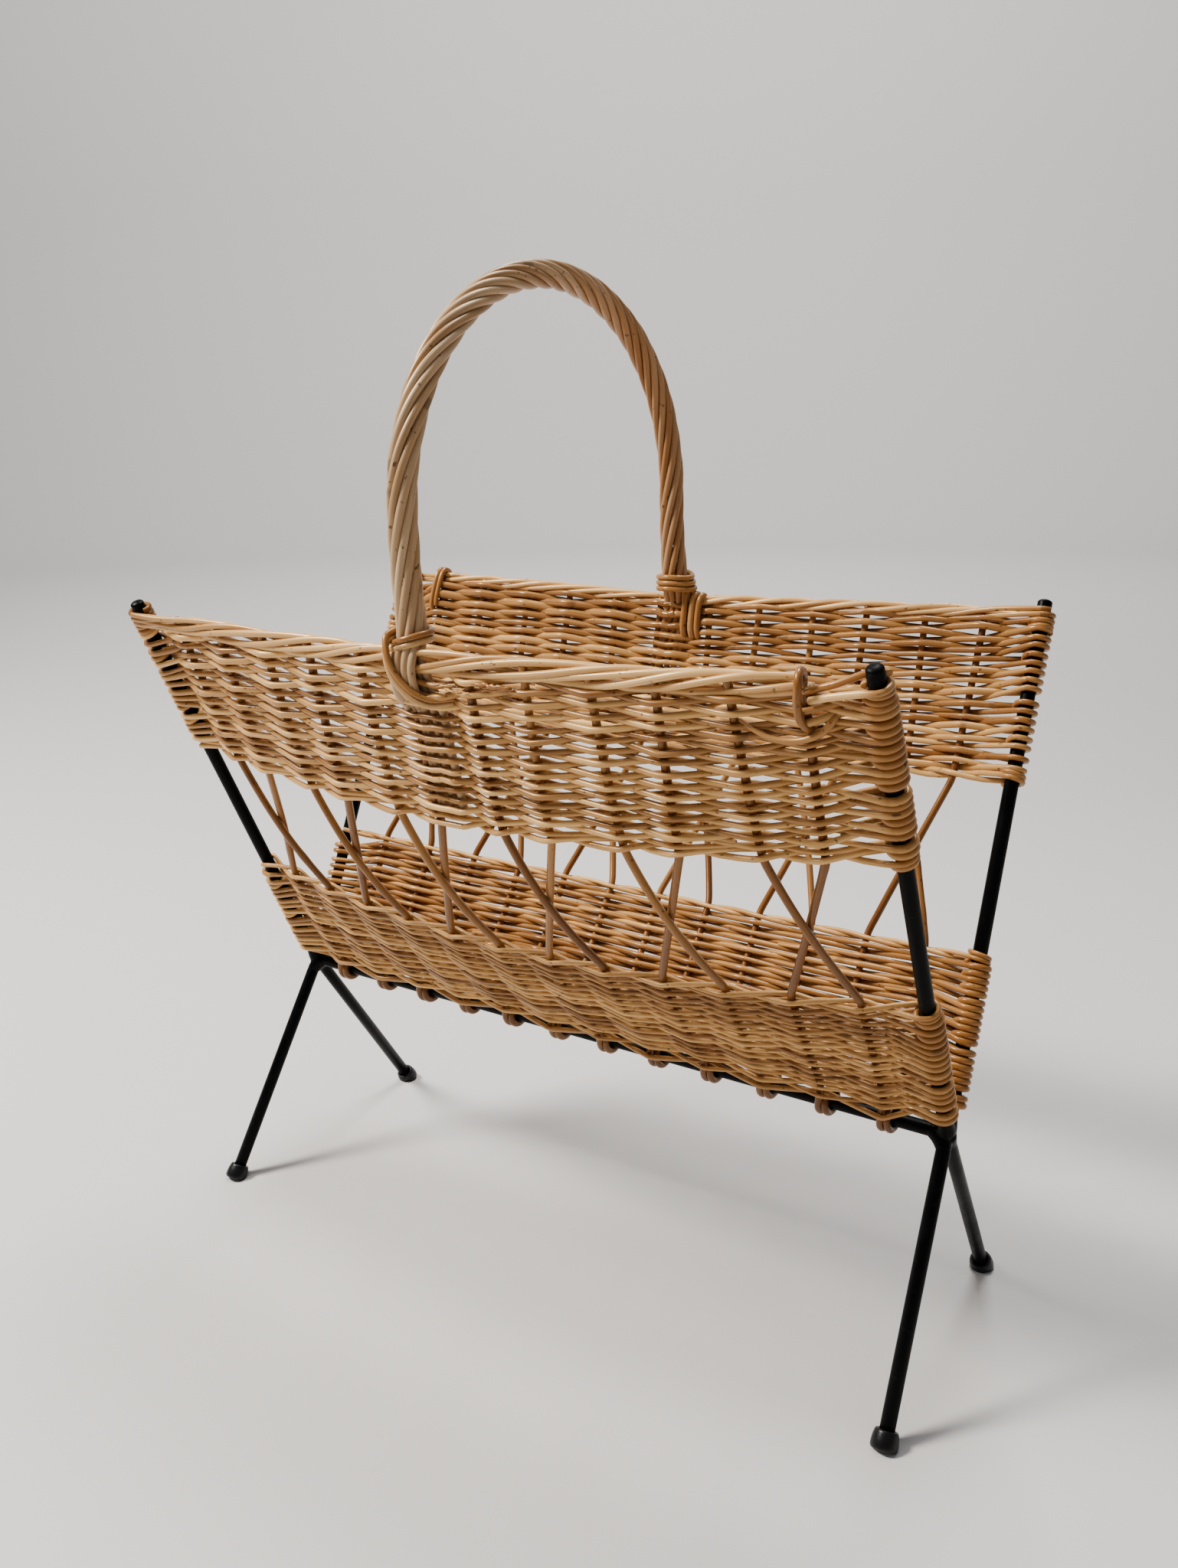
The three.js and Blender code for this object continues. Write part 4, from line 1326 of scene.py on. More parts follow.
    def ends(self, bundle: Bundle, random: np.random.Generator) -> None:
        """Run two rods from the loop to the post.

        A pale one starts with a cut end and goes round the post in front. A dark one rises behind
        the post's top. Below them the rim is filled by turns of one more rod round the post.
        """
        half, rim = self.panel.half_span, self.panel.rim
        pale = np.stack([
            np.array([-0.0295, -0.0190, -0.0060, 0.0]) + half,
            rim + np.array([-0.0052, -0.0028, -0.0004, 0.0002]),
            np.array([0.0036, 0.0040, 0.0050, self.post_reach]),
            np.zeros(4), np.array([0.55, 0.4, 0.6, 1.0]),
        ])
        dark = np.stack([
            np.array([-0.0340, -0.0180, -0.0070, -0.0010]) + half,
            rim + np.array([-0.0030, 0.0008, 0.0036, 0.0044]),
            np.array([0.0010, 0.0, -0.0036, -self.post_reach]),
            np.zeros(4), np.array([0.6, 0.8, 1.0, 1.0]),
        ])
        for path, sign, tint in ((pale, 1.0, 0.9), (dark, -1.0, 0.0)):
            turn = self.turn(End.RIGHT, sign, path[1][-1])
            whole = [np.concatenate([before, after]) for before, after in zip(path, turn)]
            self.strand(bundle, random, whole, tint)
        self.coil(bundle, random, End.RIGHT, rim - 0.0118, 3.4)

    def rough_spots(self, bundle: Bundle, random: np.random.Generator) -> None:
        """Lay the torn place beside the handle: a strip of loose bark and a few thin splinters."""
        rim = self.panel.rim
        for number in range(3):
            place = np.linspace(0.024, 0.048, 14) + 0.002 * number
            level = rim - 0.0062 - 0.0014 * number + random.normal(0.0, 0.0003, 14)
            out = 0.0046 - 0.0006 * number + random.normal(0.0, 0.0003, 14)
            radius = 0.0011 * np.sin(np.linspace(0.35, 2.8, 14)) * random.uniform(0.7, 1.3, 14)
            bundle.add(self.panel.point(place, level, out), radius, self.panel.upward, 0.0, 1.0, sides=9)
        for _ in range(12):
            start = np.array([random.uniform(0.002, 0.022), random.uniform(-0.013, -0.007)])
            step = np.array([random.uniform(0.004, 0.010) * random.choice([-1.0, 1.0]), random.uniform(-0.002, 0.003)])
            share = np.linspace(0.0, 1.0, 6)
            path = self.panel.point(
                start[0] + step[0] * share, rim + start[1] + step[1] * share, 0.0050 + random.uniform(0.0, 0.0022) * share
            )
            bundle.add(path, 0.00042 * (1.05 - share), self.panel.upward, random.uniform(0.7, 1.0), 0.0, sides=6)


@dataclass
class Handle:
    """The roped handle: eight rods twisted round each other, straight up from the rims and over."""

    front: PanelForm
    rear: PanelForm
    inset: float = 0.0046
    leg_length: float = 0.070
    places: dict[Side, float] = field(default_factory=lambda: {Side.FRONT: -0.0185, Side.REAR: -0.0055})
    springs: dict[Side, float] = field(default_factory=lambda: {Side.FRONT: -0.0212, Side.REAR: -0.0082})
    foot_radii: dict[Side, float] = field(default_factory=lambda: {Side.FRONT: 0.0058, Side.REAR: 0.0065})
    stake_place: float = -0.0195
    pitches: dict[Side, float] = field(default_factory=lambda: {Side.FRONT: 0.0062, Side.REAR: 0.0050})
    strand_count: int = 8
    strand_radius: float = 0.0021
    rope_radius: float = 0.0057
    foot_rise: float = 0.012
    leg_turns: float = 0.38
    arch_turns: float = 3.185
    pass_out: float = 0.0069
    group_drop: float = 0.086
    seed: int = 5

    @property
    def rim_point(self) -> np.ndarray:
        """The middle of a rim that no handle draws down, on the rear side."""
        return self.front.point(0.0, self.front.rim) * np.array([1.0, -1.0, 1.0])

    @property
    def arch_radius(self) -> float:
        """Radius of the half circle over the basket."""
        return float(self.rim_point[1]) - self.inset

    @property
    def arch_height(self) -> float:
        """Height of the centre of the half circle."""
        return float(self.rim_point[2]) + self.leg_length

    def axis(self) -> tuple[np.ndarray, np.ndarray, np.ndarray]:
        """Follow the rope: a leg, half a circle and a leg.

        Returns:
            The middle line, the twist at each point in turns of a circle, and the rope's radius.
            Each leg leans from its foot to where the half circle springs by a square.
        """
        foot = float(self.rim_point[2]) + self.foot_rise
        up = np.linspace(0.0, 1.0, 22, endpoint=False)
        turn = np.linspace(0.0, HALF_TURN, 150)
        arch_share = turn / HALF_TURN
        place = mix(self.springs[Side.FRONT], self.springs[Side.REAR], (1.0 - np.cos(turn)) / 2)
        middle = [np.stack(
            [place, -self.arch_radius * np.cos(turn), self.arch_height + self.arch_radius * np.sin(turn)], axis=1
        )]
        leg_twist = self.leg_turns * up
        eased = arch_share - 0.24 * np.sin(FULL_TURN * arch_share) / FULL_TURN
        twist = [self.leg_turns + self.arch_turns * eased]
        radius = [np.full(len(turn), self.rope_radius)]
        for side in Side:
            near = (1.0 - up) ** 2
            leg = np.stack([
                mix(self.springs[side], self.places[side], near), np.full(len(up), side * self.arch_radius),
                mix(foot, self.arch_height, up),
            ], axis=1)
            widths = mix(self.rope_radius, self.foot_radii[side], near)
            if side == Side.FRONT:
                middle, twist, radius = [leg] + middle, [leg_twist] + twist, [widths] + radius
            else:
                last = 2 * self.leg_turns + self.arch_turns - leg_twist[::-1]
                middle, twist, radius = middle + [leg[::-1]], twist + [last], radius + [widths[::-1]]
        return np.concatenate(middle), np.concatenate(twist) * FULL_TURN, np.concatenate(radius)

    def foot(self, panel: PanelForm, outside: bool, rank: int, count: int) -> np.ndarray:
        """Follow one rod from the weave up past the rim.

        Args:
            panel: The panel that carries this foot.
            outside: Whether the rod belongs to those that stand furthest out.
            rank: Which of them it is, from the left.
            count: How many they are.

        Returns:
            Points from the lowest to the rim's level. At the front the outer rods pass outside the
            rim and end just under it. The others go down between its rods, and beside a stake to
            the foot of the band.
        """
        offset = (rank - (count - 1) / 2) * self.strand_radius * 2
        place = self.places[panel.side] + offset
        if outside and panel.side == Side.FRONT:
            drop = np.array([0.0275, 0.0220, 0.0170, 0.0090, 0.0]) + 0.0012 * math.cos(2.6 * rank)
            out = np.array([-0.0010, 0.0008, 0.0056, 0.0066, self.pass_out])
            along = np.full(5, place)
        elif outside:
            drop = np.array([0.034, 0.022, 0.010, 0.004, 0.0])
            out = np.array([0.0, 0.0005, 0.0015, 0.0020, 0.0025])
            along = place + np.array([-0.002, -0.001, 0.0, 0.0, 0.0])
        else:
            drop = np.array([self.group_drop, 0.050, 0.026, 0.012, 0.0])
            heights = panel.rim - drop
            stakes = panel.stake_places(heights)
            stake = stakes[np.argmin(np.abs(stakes.mean(axis=1) - self.stake_place))]
            along = stake + self.pitches[panel.side] * max(rank, 0.6)
            blend = np.array([0.0, 0.0, 0.05, 0.55, 0.95])
            along = mix(along, place, blend)
            out = np.array([0.0, 0.0, 0.0, -0.0005, -0.0015])
        return panel.point(along, panel.rim - drop, out)

    def build(self, finishes: Finishes) -> None:
        """Sweep the rods of the rope.

        Rod k stands from the middle line by the rope's radius, at an angle that is its share of a
        turn plus the twist so far, measured from the rail's direction.
        """
        random = np.random.default_rng(self.seed)
        bundle = Bundle("handle_rods")
        middle, twist, radii = self.axis()
        along = unit(np.gradient(middle, axis=0))
        across = unit(X_AXIS - along * along[:, :1])
        second = np.cross(along, across)
        feet = {Side.FRONT: {}, Side.REAR: {}}
        paths = []
        for strand in range(self.strand_count):
            angle = twist + FULL_TURN * (strand + 0.5) / self.strand_count
            spread = across * np.cos(angle)[:, None] + second * np.sin(angle)[:, None]
            paths.append(middle + spread * radii[:, None])
        for side, index in ((Side.FRONT, 0), (Side.REAR, -1)):
            outer = sorted(range(self.strand_count), key=lambda k: side * paths[k][index][1], reverse=True)
            half = self.strand_count // 2
            for outside, chosen in ((True, outer[:half]), (False, outer[half:])):
                for rank, strand in enumerate(sorted(chosen, key=lambda k: paths[k][index][0])):
                    feet[side][strand] = (outside, rank, len(chosen))
        for strand in range(self.strand_count):
            whole = np.concatenate([
                self.foot(self.front, *feet[Side.FRONT][strand]), paths[strand],
                self.foot(self.rear, *feet[Side.REAR][strand])[::-1],
            ])
            path = softened(respaced(whole, 0.003), 3)
            share = np.linspace(0.0, 1.0, len(path))
            radius = self.strand_radius * mix(1.04, 0.96, share) * random.uniform(0.94, 1.06)
            tint = random.uniform(0.45, 0.85)
            # Painted shade: the rope darkens over its rear half, away from the light.
            wrap_and_painted_shade = 0.75 * smooth((share - 0.40) / 0.25)
            bundle.add(path, radius, X_AXIS, tint, wrap_and_painted_shade, sides=14, start=random.uniform(0.0, 9.0))
        settle(bundle.build(finishes.handle), ["handle"])


@dataclass
class Bindings:
    """Thin rods that hold the handle to the rims, and the hooped loops over the rims."""

    front: PanelForm
    rear: PanelForm
    handle: Handle
    rod_radius: float = 0.0017
    hook_radius: float = 0.0020
    seed: int = 12

    def oval(self, side: Side, angle: np.ndarray) -> tuple[np.ndarray, np.ndarray]:
        """Places along and across the rail on the oval that hugs a foot of the handle."""
        wide = self.handle.foot_radii[side] + self.handle.strand_radius + self.rod_radius
        x = self.handle.places[side] + (wide + 0.0008) * np.cos(angle)
        return x, side * self.handle.arch_radius + wide * np.sin(angle)

    def front_binding(self) -> np.ndarray:
        """Follow the doubled rod of the front foot.

        It comes from behind on the left, crosses in front rising to the right, goes round the back,
        and from the left runs down over the foot into the weave.

        Returns:
            Points along the middle between its two rods.
        """
        rim_height = float(self.handle.rim_point[2])
        angle = np.linspace(-1.02 * HALF_TURN, 0.86 * HALF_TURN, 56)
        x, y = self.oval(Side.FRONT, angle)
        front_share = np.clip((angle + HALF_TURN) / HALF_TURN, 0.0, 1.0)
        back_share = np.clip(angle / HALF_TURN, 0.0, 1.0)
        z = rim_height + 0.0052 + 0.0066 * smooth(front_share) + 0.0016 * back_share
        ring = np.stack([x, y, z], axis=1)
        tail_x = np.array([-0.0288, -0.0260, -0.0232, -0.0180, -0.0110, -0.0028, 0.0078])
        tail_h = np.array([0.0120, 0.0062, -0.0002, -0.0070, -0.0132, -0.0182, -0.0196])
        tail_n = np.array([0.0030, 0.0080, 0.0100, 0.0106, 0.0102, 0.0068, 0.0002])
        tail = self.front.point(tail_x, self.front.rim + tail_h, tail_n)
        return softened(respaced(np.concatenate([ring, tail]), 0.0015), 6)

    def hoop(self, panel: PanelForm, place: float, turns: float, depth: float, radius: float, lean: float) -> np.ndarray:
        """Turns over the rim: a rounded upright oval that drifts along the rail by one rod a turn."""
        reach = radius + 0.0050
        top = panel.rim + 0.0060 + radius
        low = panel.rim - depth
        angle = np.linspace(-QUARTER_TURN - 0.6, FULL_TURN * turns - QUARTER_TURN - 0.2, int(34 * turns))
        rounded = np.sign(np.cos(angle)) * np.abs(np.cos(angle)) ** 0.7
        tall = np.sign(np.sin(angle)) * np.abs(np.sin(angle)) ** 0.7
        pitch = radius * 2.15
        along = place + pitch * ((angle + QUARTER_TURN) / FULL_TURN - turns / 2) + lean * tall
        return panel.point(along, (top + low) / 2 + (top - low) / 2 * tall, reach * rounded)

    def build(self, finishes: Finishes) -> None:
        """Sweep the bindings and the loops, each a piece of its own."""
        random = np.random.default_rng(self.seed)
        self.bind_front(finishes, random)
        self.bind_rear(finishes, random)
        self.loop_front(finishes, random)
        left = Bundle("rear_left_loop_rods")
        path = self.hoop(self.rear, 0.030 - self.rear.half_span, 1.9, 0.024, self.rod_radius, 0.0008)
        self.sweep(left, path, self.rod_radius, random, 0.35)
        settle(left.build(finishes.binder), ["rear_left_rim_loop"])
        self.hook_rear(finishes, random)

    def sweep(
        self, bundle: Bundle, path: np.ndarray, radius: float | np.ndarray, random: np.random.Generator, tint: float
    ) -> None:
        """Sweep one binding rod."""
        guide = np.broadcast_to(np.array([0.42, 0.31, 0.85]), path.shape)
        bundle.add(path, radius, guide, tint, 0.25, sides=12, start=random.uniform(0.0, 9.0))

    def bind_front(self, finishes: Finishes, random: np.random.Generator) -> None:
        """Lay the two rods of the front binding side by side along their shared middle line."""
        bundle = Bundle("front_binding_rods")
        middle = self.front_binding()
        walked = run_along(middle)
        share = walked / walked[-1]
        beside = np.stack([0.25 * smooth((share - 0.55) / 0.2), np.zeros(len(share)), np.ones(len(share))], axis=1)
        thin = mix(1.0, 0.72, smooth((share - 0.75) / 0.25))
        for side, tint in ((1.0, 0.30), (-1.0, 0.85)):
            path = middle + unit(beside) * (side * self.rod_radius * 1.03 * thin)[:, None]
            self.sweep(bundle, path, self.rod_radius * thin, random, tint)
        settle(bundle.build(finishes.binder), ["front_handle_binding"])

    def bind_rear(self, finishes: Finishes, random: np.random.Generator) -> None:
        """Wind three turns round the rear foot, lower on the right than on the left."""
        bundle = Bundle("rear_binding_rods")
        low = float(self.rear.point(self.handle.places[Side.REAR], self.rear.rim)[2]) + 0.0098
        angle = np.linspace(QUARTER_TURN, QUARTER_TURN + FULL_TURN * 3.0, 110)
        x, y = self.oval(Side.REAR, angle)
        to_right = np.clip(np.cos(angle), 0.0, 1.0)
        lower = 1.0 - (angle - QUARTER_TURN) / (FULL_TURN * 3.0)
        x = x + 0.0034 * to_right**2 * lower
        z = low + self.rod_radius * 2.15 * (angle - QUARTER_TURN) / FULL_TURN - 0.0016 * to_right**2
        self.sweep(bundle, softened(np.stack([x, y, z], axis=1), 1), self.rod_radius, random, 0.45)
        settle(bundle.build(finishes.binder), ["rear_handle_binding"])

    def loop_front(self, finishes: Finishes, random: np.random.Generator) -> None:
        """Bend one rod over the front rim, whose tail runs down and back along the weave."""
        bundle = Bundle("front_loop_rods")
        panel, rim = self.front, self.front.rim
        along = np.array([0.1940, 0.1945, 0.1954, 0.1970, 0.1982, 0.1972, 0.1968, 0.1984, 0.2026, 0.2056])
        height = np.array([-0.013, -0.004, 0.0046, 0.0078, 0.0052, -0.0044, -0.0132, -0.0200, -0.0232, -0.0222])
        out = np.array([-0.0060, -0.0070, -0.0056, 0.0005, 0.0058, 0.0078, 0.0066, 0.0036, -0.0020, -0.0050])
        hoop = panel.point(along, rim + height, out)
        tail_along = np.array([0.2130, 0.2100, 0.2050, 0.1965, 0.1875, 0.1800, 0.1720, 0.1660])
        tail_height = np.array([-0.0110, -0.0155, -0.0205, -0.0238, -0.0244, -0.0230, -0.0195, -0.0170])
        tail_out = np.array([-0.0020, 0.0030, 0.0052, 0.0056, 0.0054, 0.0050, 0.0036, 0.0008])
        tail = panel.point(tail_along, rim + tail_height, tail_out)
        first = softened(respaced(hoop, 0.0015), 7)
        second = softened(respaced(tail, 0.0015), 7)
        self.sweep(bundle, first, self.hook_radius * 0.96, random, 0.15)
        thin = mix(0.9, 0.45, np.linspace(0.0, 1.0, len(second)) ** 1.5)
        self.sweep(bundle, second, self.hook_radius * thin, random, 0.55)
        settle(bundle.build(finishes.binder), ["front_rim_loop"])

    def hook_rear(self, finishes: Finishes, random: np.random.Generator) -> None:
        """Hook three rods over the rear rim beside the handle; the first comes out of its foot."""
        bundle = Bundle("rear_middle_loop_rods")
        panel, rim = self.rear, self.rear.rim
        tops = np.array([0.0190, 0.0080, 0.0068])
        for number, top in enumerate(tops):
            along = (0.0028, 0.0084, 0.0130)[number] + np.array([0.0004, 0.0008, 0.0010, 0.0008, 0.0004, 0, -0.0004, -0.0006])
            if number == 0:
                along[:4] = [-0.0020, 0.0008, 0.0030, 0.0034]
            height = rim + np.array([-0.012, 0.001, top, top * 0.55 + 0.002, 0.0, -0.0085, -0.0178, -0.0215])
            out = np.array([0.0072, 0.0064, 0.0 if number else -0.0010, -0.0052, -0.0068, -0.0066, -0.0056, -0.0015])
            path = softened(respaced(panel.point(along, height, out), 0.0015), 7)
            self.sweep(bundle, path, self.hook_radius, random, (0.45, 0.6, 0.35)[number])
        settle(bundle.build(finishes.binder), ["rear_middle_rim_loop"])


@dataclass
class SteelFrame:
    """The welded frame: a bent rail that runs into the front legs, and two crossing rods at each end."""

    front: PanelForm
    rear: PanelForm
    front_foot_flare: float = 0.010
    rear_foot_draw: float = 0.012
    foot_width: float = 0.175
    bend_radius: float = 0.0105
    cap_bottom: float = 0.0035
    cap_radius: float = 0.007
    cap_worn: float = 0.0012
    cap_lift: float = -0.0004
    weld_reach: float = 0.016
    weld_radius: float = 0.0052
    weld_voxel: float = 0.0007

    @property
    def rod_radius(self) -> float:
        """Radius of every steel rod."""
        return self.front.rod_diameter / 2

    def foot(self, side: Side, end: End) -> np.ndarray:
        """Where the middle line of a leg meets the floor."""
        span = self.front.rail_length + self.front_foot_flare
        if side == Side.REAR:
            span -= self.rear_foot_draw
        return np.array([end * span / 2, side * self.foot_width / 2, 0.0])

    def joint(self, end: End) -> np.ndarray:
        """Where the rods of an end meet."""
        return np.array([end * self.front.half_span, 0.0, self.front.joint_height])

    def top(self, side: Side, end: End) -> np.ndarray:
        """Top end of a post."""
        panel = self.front if side == Side.FRONT else self.rear
        return panel.point(end * panel.half_span, panel.post_length, 0.0, 1.0)

    def leg_way(self, side: Side, end: End) -> np.ndarray:
        """Unit step down a leg."""
        return unit(self.foot(side, end) - self.joint(end))

    def sole(self, side: Side, end: End) -> np.ndarray:
        """Where the bottom of a foot cap meets the middle line of its leg: below the floor, as the
        cap's lower edge is worn flat on it."""
        way = self.leg_way(side, end)
        tilt = math.acos(-way[2])
        return self.foot(side, end) - way * (self.cap_radius * math.sin(tilt) - self.cap_worn) / math.cos(tilt)

    def leg_end(self, side: Side, end: End) -> np.ndarray:
        """End of a leg's rod, inside its cap."""
        return self.sole(side, end) - self.leg_way(side, end) * (self.cap_bottom + self.front.clearance)

    def rod(
        self, name: str, corners: Sequence[np.ndarray], domes: tuple[bool, bool], node: str, finishes: Finishes
    ) -> None:
        """Sweep one steel rod through its corners, round off its open ends and dress it."""
        path = bent(corners, self.bend_radius, math.radians(5.0)) if len(corners) > 2 else np.stack(corners)
        path, radii = domed(path, self.rod_radius, 0.0019, *domes)
        bundle = Bundle(name)
        guide = Y_AXIS if name == "rail_and_front_leg_rod" else X_AXIS
        bundle.add(path, radii, self.guides(path, guide), 0.5, sides=28)
        settle(bundle.build(finishes.steel), [node])

    @staticmethod
    def guides(path: np.ndarray, first: np.ndarray) -> np.ndarray:
        """Carry a direction along a path: at each station, less its part along the path there."""
        along = unit(np.gradient(path, axis=0))
        return first - along * np.sum(along * first, axis=1, keepdims=True) * 0.999

    def weld(self, end: End, finishes: Finishes) -> None:
        """Run the rods of a joint together in one smooth weld.

        Short thicker lengths of all rods are merged by a voxel remesh and smoothed, so the hollows
        between them fill, while their far ends sink into the rods.
        """
        name = f"{'left' if end == End.LEFT else 'right'}_joint_weld"
        joint = self.joint(end)
        bundle = Bundle(name)
        rail = bent([self.leg_end(Side.FRONT, end), joint, joint * np.array([0.5, 1.0, 1.0])], self.bend_radius, 0.1)
        rail = rail[np.linalg.norm(rail - joint, axis=1) < self.weld_reach]
        runs = [joint + unit(self.top(side, end) - joint) * np.array([[0.0], [self.weld_reach]]) for side in Side]
        runs += [joint + self.leg_way(Side.REAR, end) * np.array([[0.0], [self.weld_reach]]), rail]
        for run in runs:
            fine = respaced(run, 0.0015)
            away = np.linalg.norm(fine - joint, axis=1) / self.weld_reach
            radius = mix(self.weld_radius, self.rod_radius * 0.90, smooth(away))
            bundle.add(fine, radius, self.guides(fine, np.array([0.3, 0.9, 0.2])), 0.5, sides=16)
        piece = bundle.build(finishes.steel)
        remesh = piece.modifiers.new("merge", "REMESH")
        remesh.mode = "VOXEL"
        remesh.voxel_size = self.weld_voxel
        even = piece.modifiers.new("even", "SMOOTH")
        even.factor = 0.5
        even.iterations = 10
        held = bpy.context.evaluated_depsgraph_get()
        merged = bpy.data.meshes.new_from_object(piece.evaluated_get(held))
        piece.modifiers.clear()
        piece.data = merged
        merged.polygons.foreach_set("use_smooth", np.ones(len(merged.polygons), bool))
        settle(piece, [])

    def build(self, finishes: Finishes) -> None:
        """Sweep the rods of the frame, weld them and dress them."""
        ends = [self.leg_end(Side.FRONT, End.LEFT), self.joint(End.LEFT)]
        ends += [self.joint(End.RIGHT), self.leg_end(Side.FRONT, End.RIGHT)]
        self.rod("rail_and_front_leg_rod", ends, (False, False), "rail_and_front_legs", finishes)
        for end, word in ((End.LEFT, "left"), (End.RIGHT, "right")):
            long_run = [self.top(Side.FRONT, end), self.joint(end), self.leg_end(Side.REAR, end)]
            self.rod(f"{word}_long_rod", long_run, (True, False), f"{word}_front_post_rear_leg", finishes)
            short_run = [self.top(Side.REAR, end), self.joint(end)]
            self.rod(f"{word}_rear_post_rod", short_run, (True, False), f"{word}_rear_post", finishes)
            self.weld(end, finishes)
            for side, face in ((Side.FRONT, "front"), (Side.REAR, "rear")):
                self.cap(f"{face}_{word}_cap_rubber", side, end, f"{face}_{word}_foot_cap", finishes)

    def cap(self, name: str, side: Side, end: End, node: str, finishes: Finishes) -> None:
        """Turn one foot cap.

        A profile of radius and height is turned about the leg: the place is the foot plus the height
        up the leg plus the radius times (cosine times one across step, plus sine times the other).
        What would reach below the floor is worn flat on it.
        """
        profile = np.array([
            (0.0002, 0.0), (0.0054, 0.0), (0.0065, 0.0004), (0.0070, 0.0013), (0.0071, 0.0026), (0.0070, 0.0046),
            (0.0067, 0.0068), (0.0063, 0.0084), (0.0061, 0.0093), (0.0056, 0.0099), (0.0049, 0.0100),
            (0.0044, 0.0095), (0.0042, 0.0085), (0.0040, 0.0070),
        ])
        way = self.leg_way(side, end)
        across = unit(X_AXIS - way * way[0])
        second = np.cross(way, across)
        sides = 48
        angle = -np.linspace(0.0, FULL_TURN, sides, endpoint=False)
        ring = across * np.cos(angle)[:, None] + second * np.sin(angle)[:, None]
        spread = self.foot(side, end) + profile[:, 0, None, None] * ring
        points = spread - way * (self.cap_lift + profile[:, 1, None, None])
        points[..., 2] = np.maximum(points[..., 2], 0.0)
        rows = np.arange(len(profile) - 1)[:, None] * sides
        here, beside = rows + np.arange(sides), rows + (np.arange(sides) + 1) % sides
        faces = np.stack([here, beside, beside + sides, here + sides], axis=-1).reshape(-1, 4)
        mesh = bpy.data.meshes.new(name)
        mesh.from_pydata(points.reshape(-1, 3).tolist(), [], faces.tolist())
        mesh.polygons.foreach_set("use_smooth", np.ones(len(faces), bool))
        mesh.materials.append(finishes.rubber)
        piece = bpy.data.objects.new(name, mesh)
        bpy.context.scene.collection.objects.link(piece)
        settle(piece, [node])


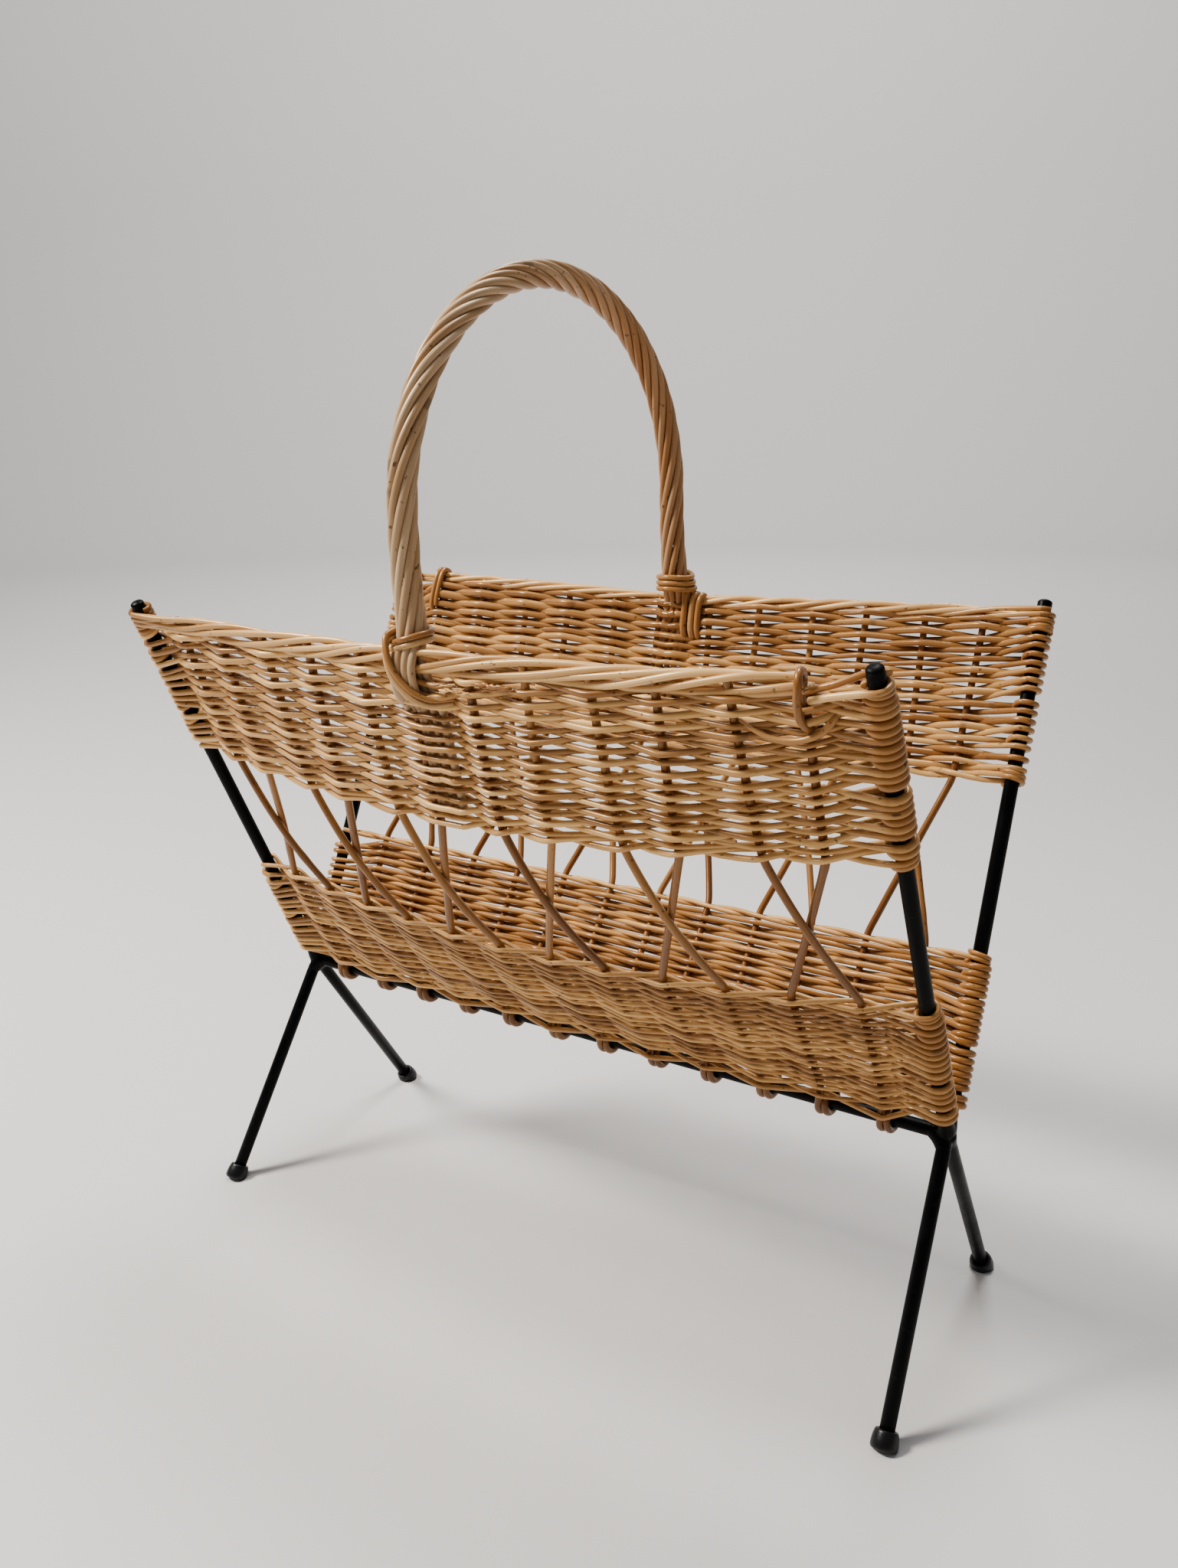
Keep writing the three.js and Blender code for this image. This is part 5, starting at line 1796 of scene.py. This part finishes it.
@dataclass
class Stage:
    """The pale floor, the soft lights and the camera of the photograph."""

    floor_radius: float = 4.5
    wall_height: float = 3.5
    cove_radius: float = 1.5
    camera_place: tuple[float, float, float] = (0.42871, -0.63144, 0.50336)
    yaw: float = math.radians(33.807)
    pitch: float = math.radians(15.382)
    roll: float = math.radians(-1.022)
    lens: float = 30.776
    sensor: float = 36.0

    def camera(self) -> None:
        """Stand the camera: forward from yaw and pitch, then right and up turned by the roll."""
        forward = np.array(
            [-math.sin(self.yaw) * math.cos(self.pitch), math.cos(self.yaw) * math.cos(self.pitch), -math.sin(self.pitch)]
        )
        level = np.array([math.cos(self.yaw), math.sin(self.yaw), 0.0])
        above = np.cross(level, forward)
        right = math.cos(self.roll) * level + math.sin(self.roll) * above
        up = -math.sin(self.roll) * level + math.cos(self.roll) * above
        data = bpy.data.cameras.new("photograph_camera")
        data.lens = self.lens
        data.sensor_width = self.sensor
        data.clip_start = 0.01
        camera = bpy.data.objects.new("photograph_camera", data)
        turn = np.eye(4)
        turn[:3, 0], turn[:3, 1], turn[:3, 2], turn[:3, 3] = right, up, -forward, self.camera_place
        camera.matrix_world = Matrix(turn.tolist())
        bpy.context.scene.collection.objects.link(camera)
        bpy.context.scene.camera = camera

    def light(
        self, name: str, place: tuple[float, float, float], size: float, power: float,
        colour: tuple[float, float, float], goal: tuple[float, float, float] = (0.0, 0.0, 0.28),
    ) -> None:
        """Hang one soft square light.

        Args:
            name: Name of the light.
            place: Where it hangs.
            size: Length of its side.
            power: Its power in watts.
            colour: Its colour.
            goal: The point that it faces, the middle of the basket unless another is given.
        """
        data = bpy.data.lights.new(name, "AREA")
        data.shape = "SQUARE"
        data.size = size
        data.energy = power
        data.color = colour
        lamp = bpy.data.objects.new(name, data)
        aim = unit(np.array(place) - np.array(goal))
        side = unit(np.cross(Z_AXIS, aim))
        turn = np.eye(4)
        turn[:3, 0], turn[:3, 1], turn[:3, 2], turn[:3, 3] = side, np.cross(aim, side), aim, place
        lamp.matrix_world = Matrix(turn.tolist())
        bpy.context.scene.collection.objects.link(lamp)

    def floor(self) -> None:
        """Lay a wide pale floor whose far edge curves up: a level disc, a quarter of a circle and a wall,
        turned about the upright through the basket."""
        curve = np.linspace(0.0, QUARTER_TURN, 16)
        reach = np.concatenate([[0.0, 1.0, 2.0], self.floor_radius + self.cove_radius * np.sin(curve)])
        rise = np.concatenate([[0.0, 0.0, 0.0], self.cove_radius * (1.0 - np.cos(curve))])
        reach, rise = np.append(reach, reach[-1]), np.append(rise, self.wall_height)
        sides = 96
        angle = np.linspace(0.0, FULL_TURN, sides, endpoint=False)
        points = np.stack(
            [reach[:, None] * np.cos(angle), reach[:, None] * np.sin(angle), np.repeat(rise[:, None], sides, axis=1)],
            axis=-1,
        )
        rows = np.arange(len(reach) - 1)[:, None] * sides
        here, beside = rows + np.arange(sides), rows + (np.arange(sides) + 1) % sides
        faces = np.stack([here, beside, beside + sides, here + sides], axis=-1).reshape(-1, 4)
        mesh = bpy.data.meshes.new("pale_floor")
        mesh.from_pydata(points.reshape(-1, 3).tolist(), [], faces.tolist())
        mesh.polygons.foreach_set("use_smooth", np.ones(len(faces), bool))
        material = bpy.data.materials.new("pale_floor")
        material.use_nodes = True
        shader = material.node_tree.nodes["Principled BSDF"]
        shader.inputs["Base Color"].default_value = (0.58, 0.56, 0.535, 1.0)
        shader.inputs["Roughness"].default_value = 0.7
        mesh.materials.append(material)
        floor = bpy.data.objects.new("pale_floor", mesh)
        bpy.context.scene.collection.objects.link(floor)
        floor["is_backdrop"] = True

    def build(self) -> None:
        """Set the stage."""
        world = bpy.data.worlds.new("soft_room")
        world.use_nodes = True
        world.node_tree.nodes["Background"].inputs["Color"].default_value = (0.80, 0.87, 1.0, 1.0)
        world.node_tree.nodes["Background"].inputs["Strength"].default_value = 0.30
        bpy.context.scene.world = world
        self.floor()
        self.light("key_light", (-1.5, -0.9, 2.1), 0.6, 140.0, (1.0, 0.96, 0.91))
        self.light("top_light", (-0.2, 0.6, 2.4), 0.8, 55.0, (1.0, 0.98, 0.96))
        self.light("wall_light", (-1.2, 2.2, 3.2), 2.0, 190.0, (1.0, 1.0, 1.0), (-3.4, 5.2, 1.4))
        self.camera()


def main() -> None:
    """Build and dress every part of the basket, then set the stage."""
    front = PanelForm(Side.FRONT, end_rises=(0.0020, 0.0036))
    rear = PanelForm(Side.REAR, handle_dip=0.003)
    finishes = Finishes.mixed()
    SteelFrame(front, rear).build(finishes)
    StakeRods(front, rear).build(finishes)
    weave(front, "front", 3, 0.0, 1.12, 0.10, 0.0020, 0.0020, 0.08, 0.8, 0.0062, finishes)
    weave(rear, "rear", 17, 0.0048, 1.34, 0.20, 0.0016, 0.0016, 0.30, 0.55, 0.0050, finishes)
    RimBorder(
        front, "front_rim_rods", "front_rim_border", 5, loop_place=front.half_span - 0.032, lay=0.180, left_lift=0.0026,
        coil_turns=2.8,
    ).build(finishes)
    RimBorder(
        rear, "rear_rim_rods", "rear_rim_border", 19, strand_count=4, strand_radius=0.0017, half_height=0.0026,
        half_depth=0.0022, lay=0.120, lift=0.0024, end_drop=0.0036,
        coil_turns=3.1,
    ).build(finishes)
    handle = Handle(front, rear)
    handle.build(finishes)
    Bindings(front, rear, handle).build(finishes)
    Stage().build()
    boxes = {
        name: [list(map(float, corner)) for corner in box] for name, box in (("solids", SOLIDS_BOX), ("dressed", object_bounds()))
    }
    LOG.info("boxes %s", boxes)


def weave(
    panel: PanelForm, word: str, seed: int, spare: float, fullness: float, fuller: float, stake: float,
    ring: float, shade: float, palest_under_painted_shade: float, group_pitch: float, finishes: Finishes,
) -> None:
    """Weave both bands of a panel.

    Args:
        panel: The panel.
        word: What the panel is called in the names of its pieces.
        seed: Where its chance begins.
        spare: How far the upper rows reach into the room under the rim.
        fullness: Share of the row pitch that the rods fill.
        fuller: How much fuller the upper band is at its left end.
        stake: Radius that the rods pass an upright at.
        ring: Radius of the turns round the right post.
        shade: How much darker the rods are towards the right post, as painted shade away from the light.
        palest_under_painted_shade: Tint of the palest rod of the lower band, held down as painted shade inside the V,
            most in the rear panel.
        group_pitch: Distance between the handle's rods in the upper band.
        finishes: The finishes.
    """
    WovenBand(
        panel, f"{word}_upper_weave", f"{word}_upper_band", panel.upper_bottom, panel.upper_top + spare, False, 28,
        {End.LEFT: 0.20, End.RIGHT: 0.35}, {End.LEFT: 0.0017, End.RIGHT: ring}, panel.upper_bottom, seed,
        fullness=fullness, left_fuller=fuller, stake_radius=stake, group_from=-0.0195, group_pitch=group_pitch,
        pair_radius=0.00162, pair_swing=0.0017, right_painted_shade=shade,
    ).build(finishes)
    WovenBand(
        panel, f"{word}_lower_weave", f"{word}_lower_band", panel.lower_bottom - 0.0055, panel.lower_top, True, 29,
        {End.LEFT: 0.15, End.RIGHT: 0.2}, {End.LEFT: 0.0017, End.RIGHT: 0.0019}, 0.014, seed + 1,
        fullness=0.85 * fullness, stake_radius=stake, pair_radius=0.00138, pair_swing=0.0012, palest_under_painted_shade=palest_under_painted_shade,
        right_painted_shade=shade,
    ).build(finishes)


if __name__ == "__main__":
    main()
